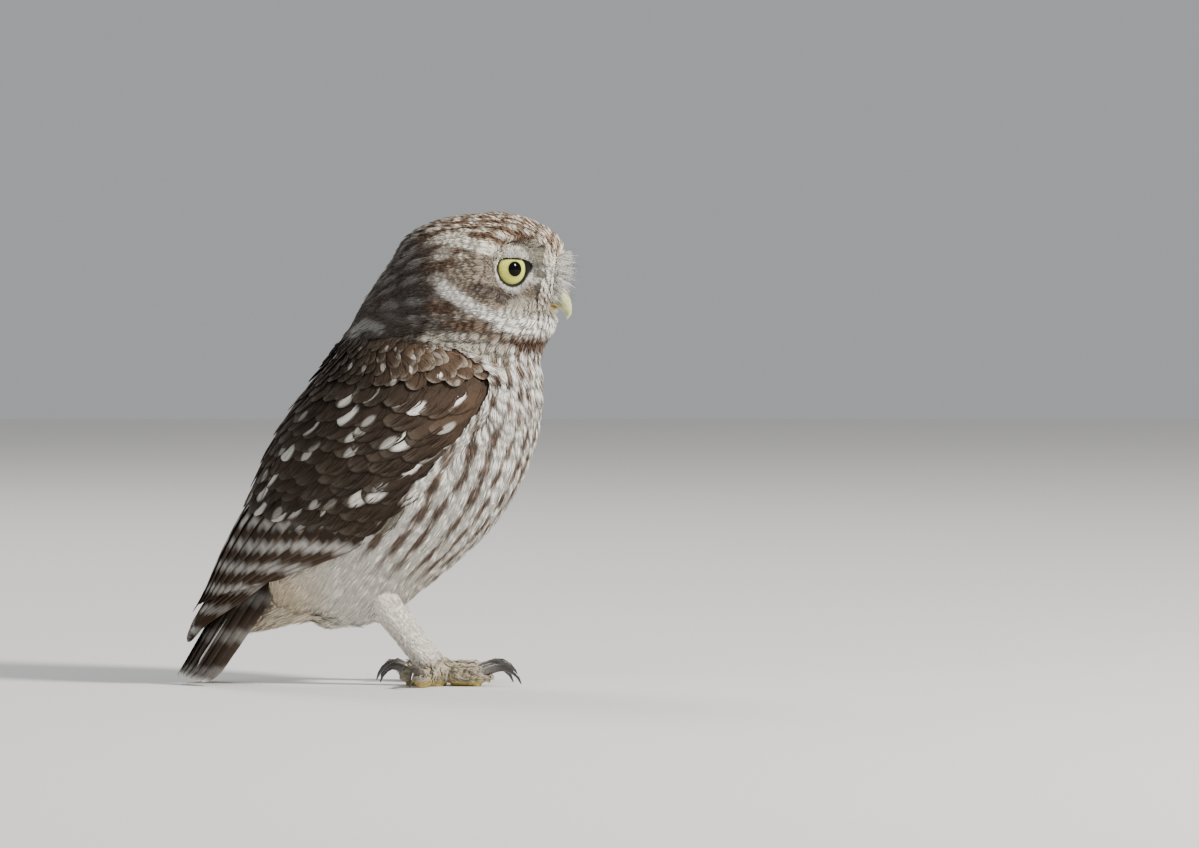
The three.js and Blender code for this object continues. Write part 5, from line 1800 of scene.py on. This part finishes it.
    def forehead(self, surface, rng):
        """Adds the feathers between the eyes, which fan out from the root of the bill."""
        rows, columns = FOREHEAD_ROWS, FOREHEAD_COLUMNS
        across, up = np.meshgrid(np.linspace(-9, 9, columns), np.linspace(138, 177, rows))
        across = (across + 0.5 * (np.arange(rows) % 2)[:, None]).ravel()
        across = across + 0.25 * rng.uniform(-1, 1, across.size)
        up = up.ravel() + 0.3 * rng.uniform(-1, 1, across.size)
        starts = turned(np.stack([np.full(across.size, 100.0), across, up], 1))
        way = (-turned_way((1, 0, 0))).tolist()
        hits = [surface.tree.ray_cast(start.tolist(), way, 60)[0] for start in starts]
        found = np.array([hit is not None for hit in hits])
        roots = np.array([hit for hit in hits if hit is not None], float)
        straight = turned(roots, back=True)
        seen = straight[:, 0] > 60 - 0.5 * np.maximum(straight[:, 2] - 168, 0)
        seen &= eye_distance(roots) > 8.6
        roots, straight = only(seen, roots, straight)
        fan = np.stack([0 * roots[:, 0] - 0.2, 0.13 * straight[:, 1], 0.12 * (straight[:, 2] - 152)], 1)
        flow = turned(straight + unit(fan)) - roots
        lengths = blend(3.8, 5.5, smooth(156, 172, roots[:, 2])) * rng.uniform(0.85, 1.15, len(roots))
        spine, normals = march(surface, roots, flow, lengths)
        keep = clear_of_bill(spine, allow=1.2)
        spine, normals, lengths = only(keep, spine, normals, lengths)
        feathers = Feathers(spine, normals, lengths, 1.0, (-0.1, 1.0))
        place = np.stack([across, up], 1)[found][seen][keep]
        piece = Piece()
        grow(piece, feathers, soft_shape(6, fill=1.3), rng, dress, place * 0.02,
             dict(grain=0.14, dark_root=0.3), ragged=0.1, loose=0.35, thick=0.1)
        piece.build("forehead_feathers", feather_material(), "plumage_pale")


# Stage

VIEW_MIDDLE = (0.0878, 0, 0.1014)
SENSOR_WIDTH = 36
FLOOR_SIZE, FLOOR_COLOUR = 6, (0.72, 0.71, 0.69, 1)
WORLD_STRENGTH, WORLD_COLOUR = 0.47, (0.82, 0.83, 0.85, 1)


def area_light(name, place, target, size, power, colour=(1, 1, 1)):
    light = bpy.data.lights.new(name, "AREA")
    light.shape = "DISK"
    light.size = size
    light.energy = power
    light.color = colour
    lamp = bpy.data.objects.new(name, light)
    bpy.context.scene.collection.objects.link(lamp)
    lamp.location = place
    lamp.rotation_euler = (Vector(target) - Vector(place)).to_track_quat("-Z", "Y").to_euler()
    return lamp


class OWL_OT_stage(bpy.types.Operator):
    """Sets up the camera, the pale floor and the soft lights"""
    bl_idname = "owl.stage"
    bl_label = "Stage"

    def execute(self, context):
        scene = context.scene
        settings = scene.owl_stage
        aim = Vector(VIEW_MIDDLE)
        camera = bpy.data.objects.new("Camera", bpy.data.cameras.new("Camera"))
        scene.collection.objects.link(camera)
        back = Vector((0, -math.cos(settings.elevation), math.sin(settings.elevation)))
        camera.location = aim + back * settings.distance
        camera.rotation_euler = (-back).to_track_quat("-Z", "Y").to_euler()
        camera.data.sensor_width = SENSOR_WIDTH
        camera.data.lens = SENSOR_WIDTH * settings.distance / settings.view_width
        camera.data.clip_end = 20
        scene.camera = camera

        bpy.ops.mesh.primitive_plane_add(size=FLOOR_SIZE, location=(0, 0, 0))
        floor = context.object
        floor.name = floor.data.name = "floor"
        material = new_material("Pale floor", 0.8)
        material.node_tree.nodes["Principled BSDF"].inputs["Base Color"].default_value = FLOOR_COLOUR
        floor.data.materials.append(material)

        world = bpy.data.worlds.new("Studio")
        world.use_nodes = True
        world.node_tree.nodes["Background"].inputs["Color"].default_value = WORLD_COLOUR
        world.node_tree.nodes["Background"].inputs["Strength"].default_value = WORLD_STRENGTH
        scene.world = world
        area_light("Key light", (1.6, -0.85, 1.3), (0, 0, 0.1), 0.4, 92, (1, 0.97, 0.92))
        fill = area_light("Fill light", (-1.4, -1.2, 0.8), (0, 0, 0.1), 1.2, 6, (0.93, 0.96, 1))
        fill.visible_glossy = False
        area_light("Rim light", (-0.6, 1.4, 1.4), (0, 0, 0.12), 0.8, 16)
        return {"FINISHED"}


class OWL_PT_panel(bpy.types.Panel):
    """Lists the owl's settings and the steps that make it"""
    bl_label = "Little Owl"
    bl_idname = "OWL_PT_panel"
    bl_space_type = "VIEW_3D"
    bl_region_type = "UI"
    bl_category = "Little Owl"

    def draw(self, context):
        for settings in (context.scene.owl_coat, context.scene.owl_parts, context.scene.owl_stage):
            box = self.layout.box()
            for name in settings.__annotations__:
                box.prop(settings, name)
        for operator in OPERATORS:
            self.layout.operator(operator.bl_idname)


SETTINGS = (OwlCoatSettings, OwlPartSettings, OwlStageSettings)
OPERATORS = (
    OWL_OT_stage, OWL_OT_skin, OWL_OT_body_coat, OWL_OT_leg_coat, OWL_OT_coverts,
    OWL_OT_flight_feathers, OWL_OT_tail, OWL_OT_eyes, OWL_OT_face, OWL_OT_bill, OWL_OT_feet,
)


def register():
    for item in (*SETTINGS, *OPERATORS, OWL_PT_panel):
        bpy.utils.register_class(item)
    bpy.types.Scene.owl_coat = bpy.props.PointerProperty(type=OwlCoatSettings)
    bpy.types.Scene.owl_parts = bpy.props.PointerProperty(type=OwlPartSettings)
    bpy.types.Scene.owl_stage = bpy.props.PointerProperty(type=OwlStageSettings)


def unregister():
    for name in ("owl_stage", "owl_parts", "owl_coat"):
        delattr(bpy.types.Scene, name)
    for item in reversed((*SETTINGS, *OPERATORS, OWL_PT_panel)):
        bpy.utils.unregister_class(item)


def main():
    register()
    bpy.ops.owl.stage()
    bpy.ops.owl.skin()
    bpy.ops.owl.body_coat()
    bpy.ops.owl.leg_coat()
    bpy.ops.owl.coverts()
    bpy.ops.owl.flight_feathers()
    bpy.ops.owl.tail()
    bpy.ops.owl.eyes()
    bpy.ops.owl.face()
    bpy.ops.owl.bill()
    bpy.ops.owl.feet()


if __name__ == "__main__":
    main()
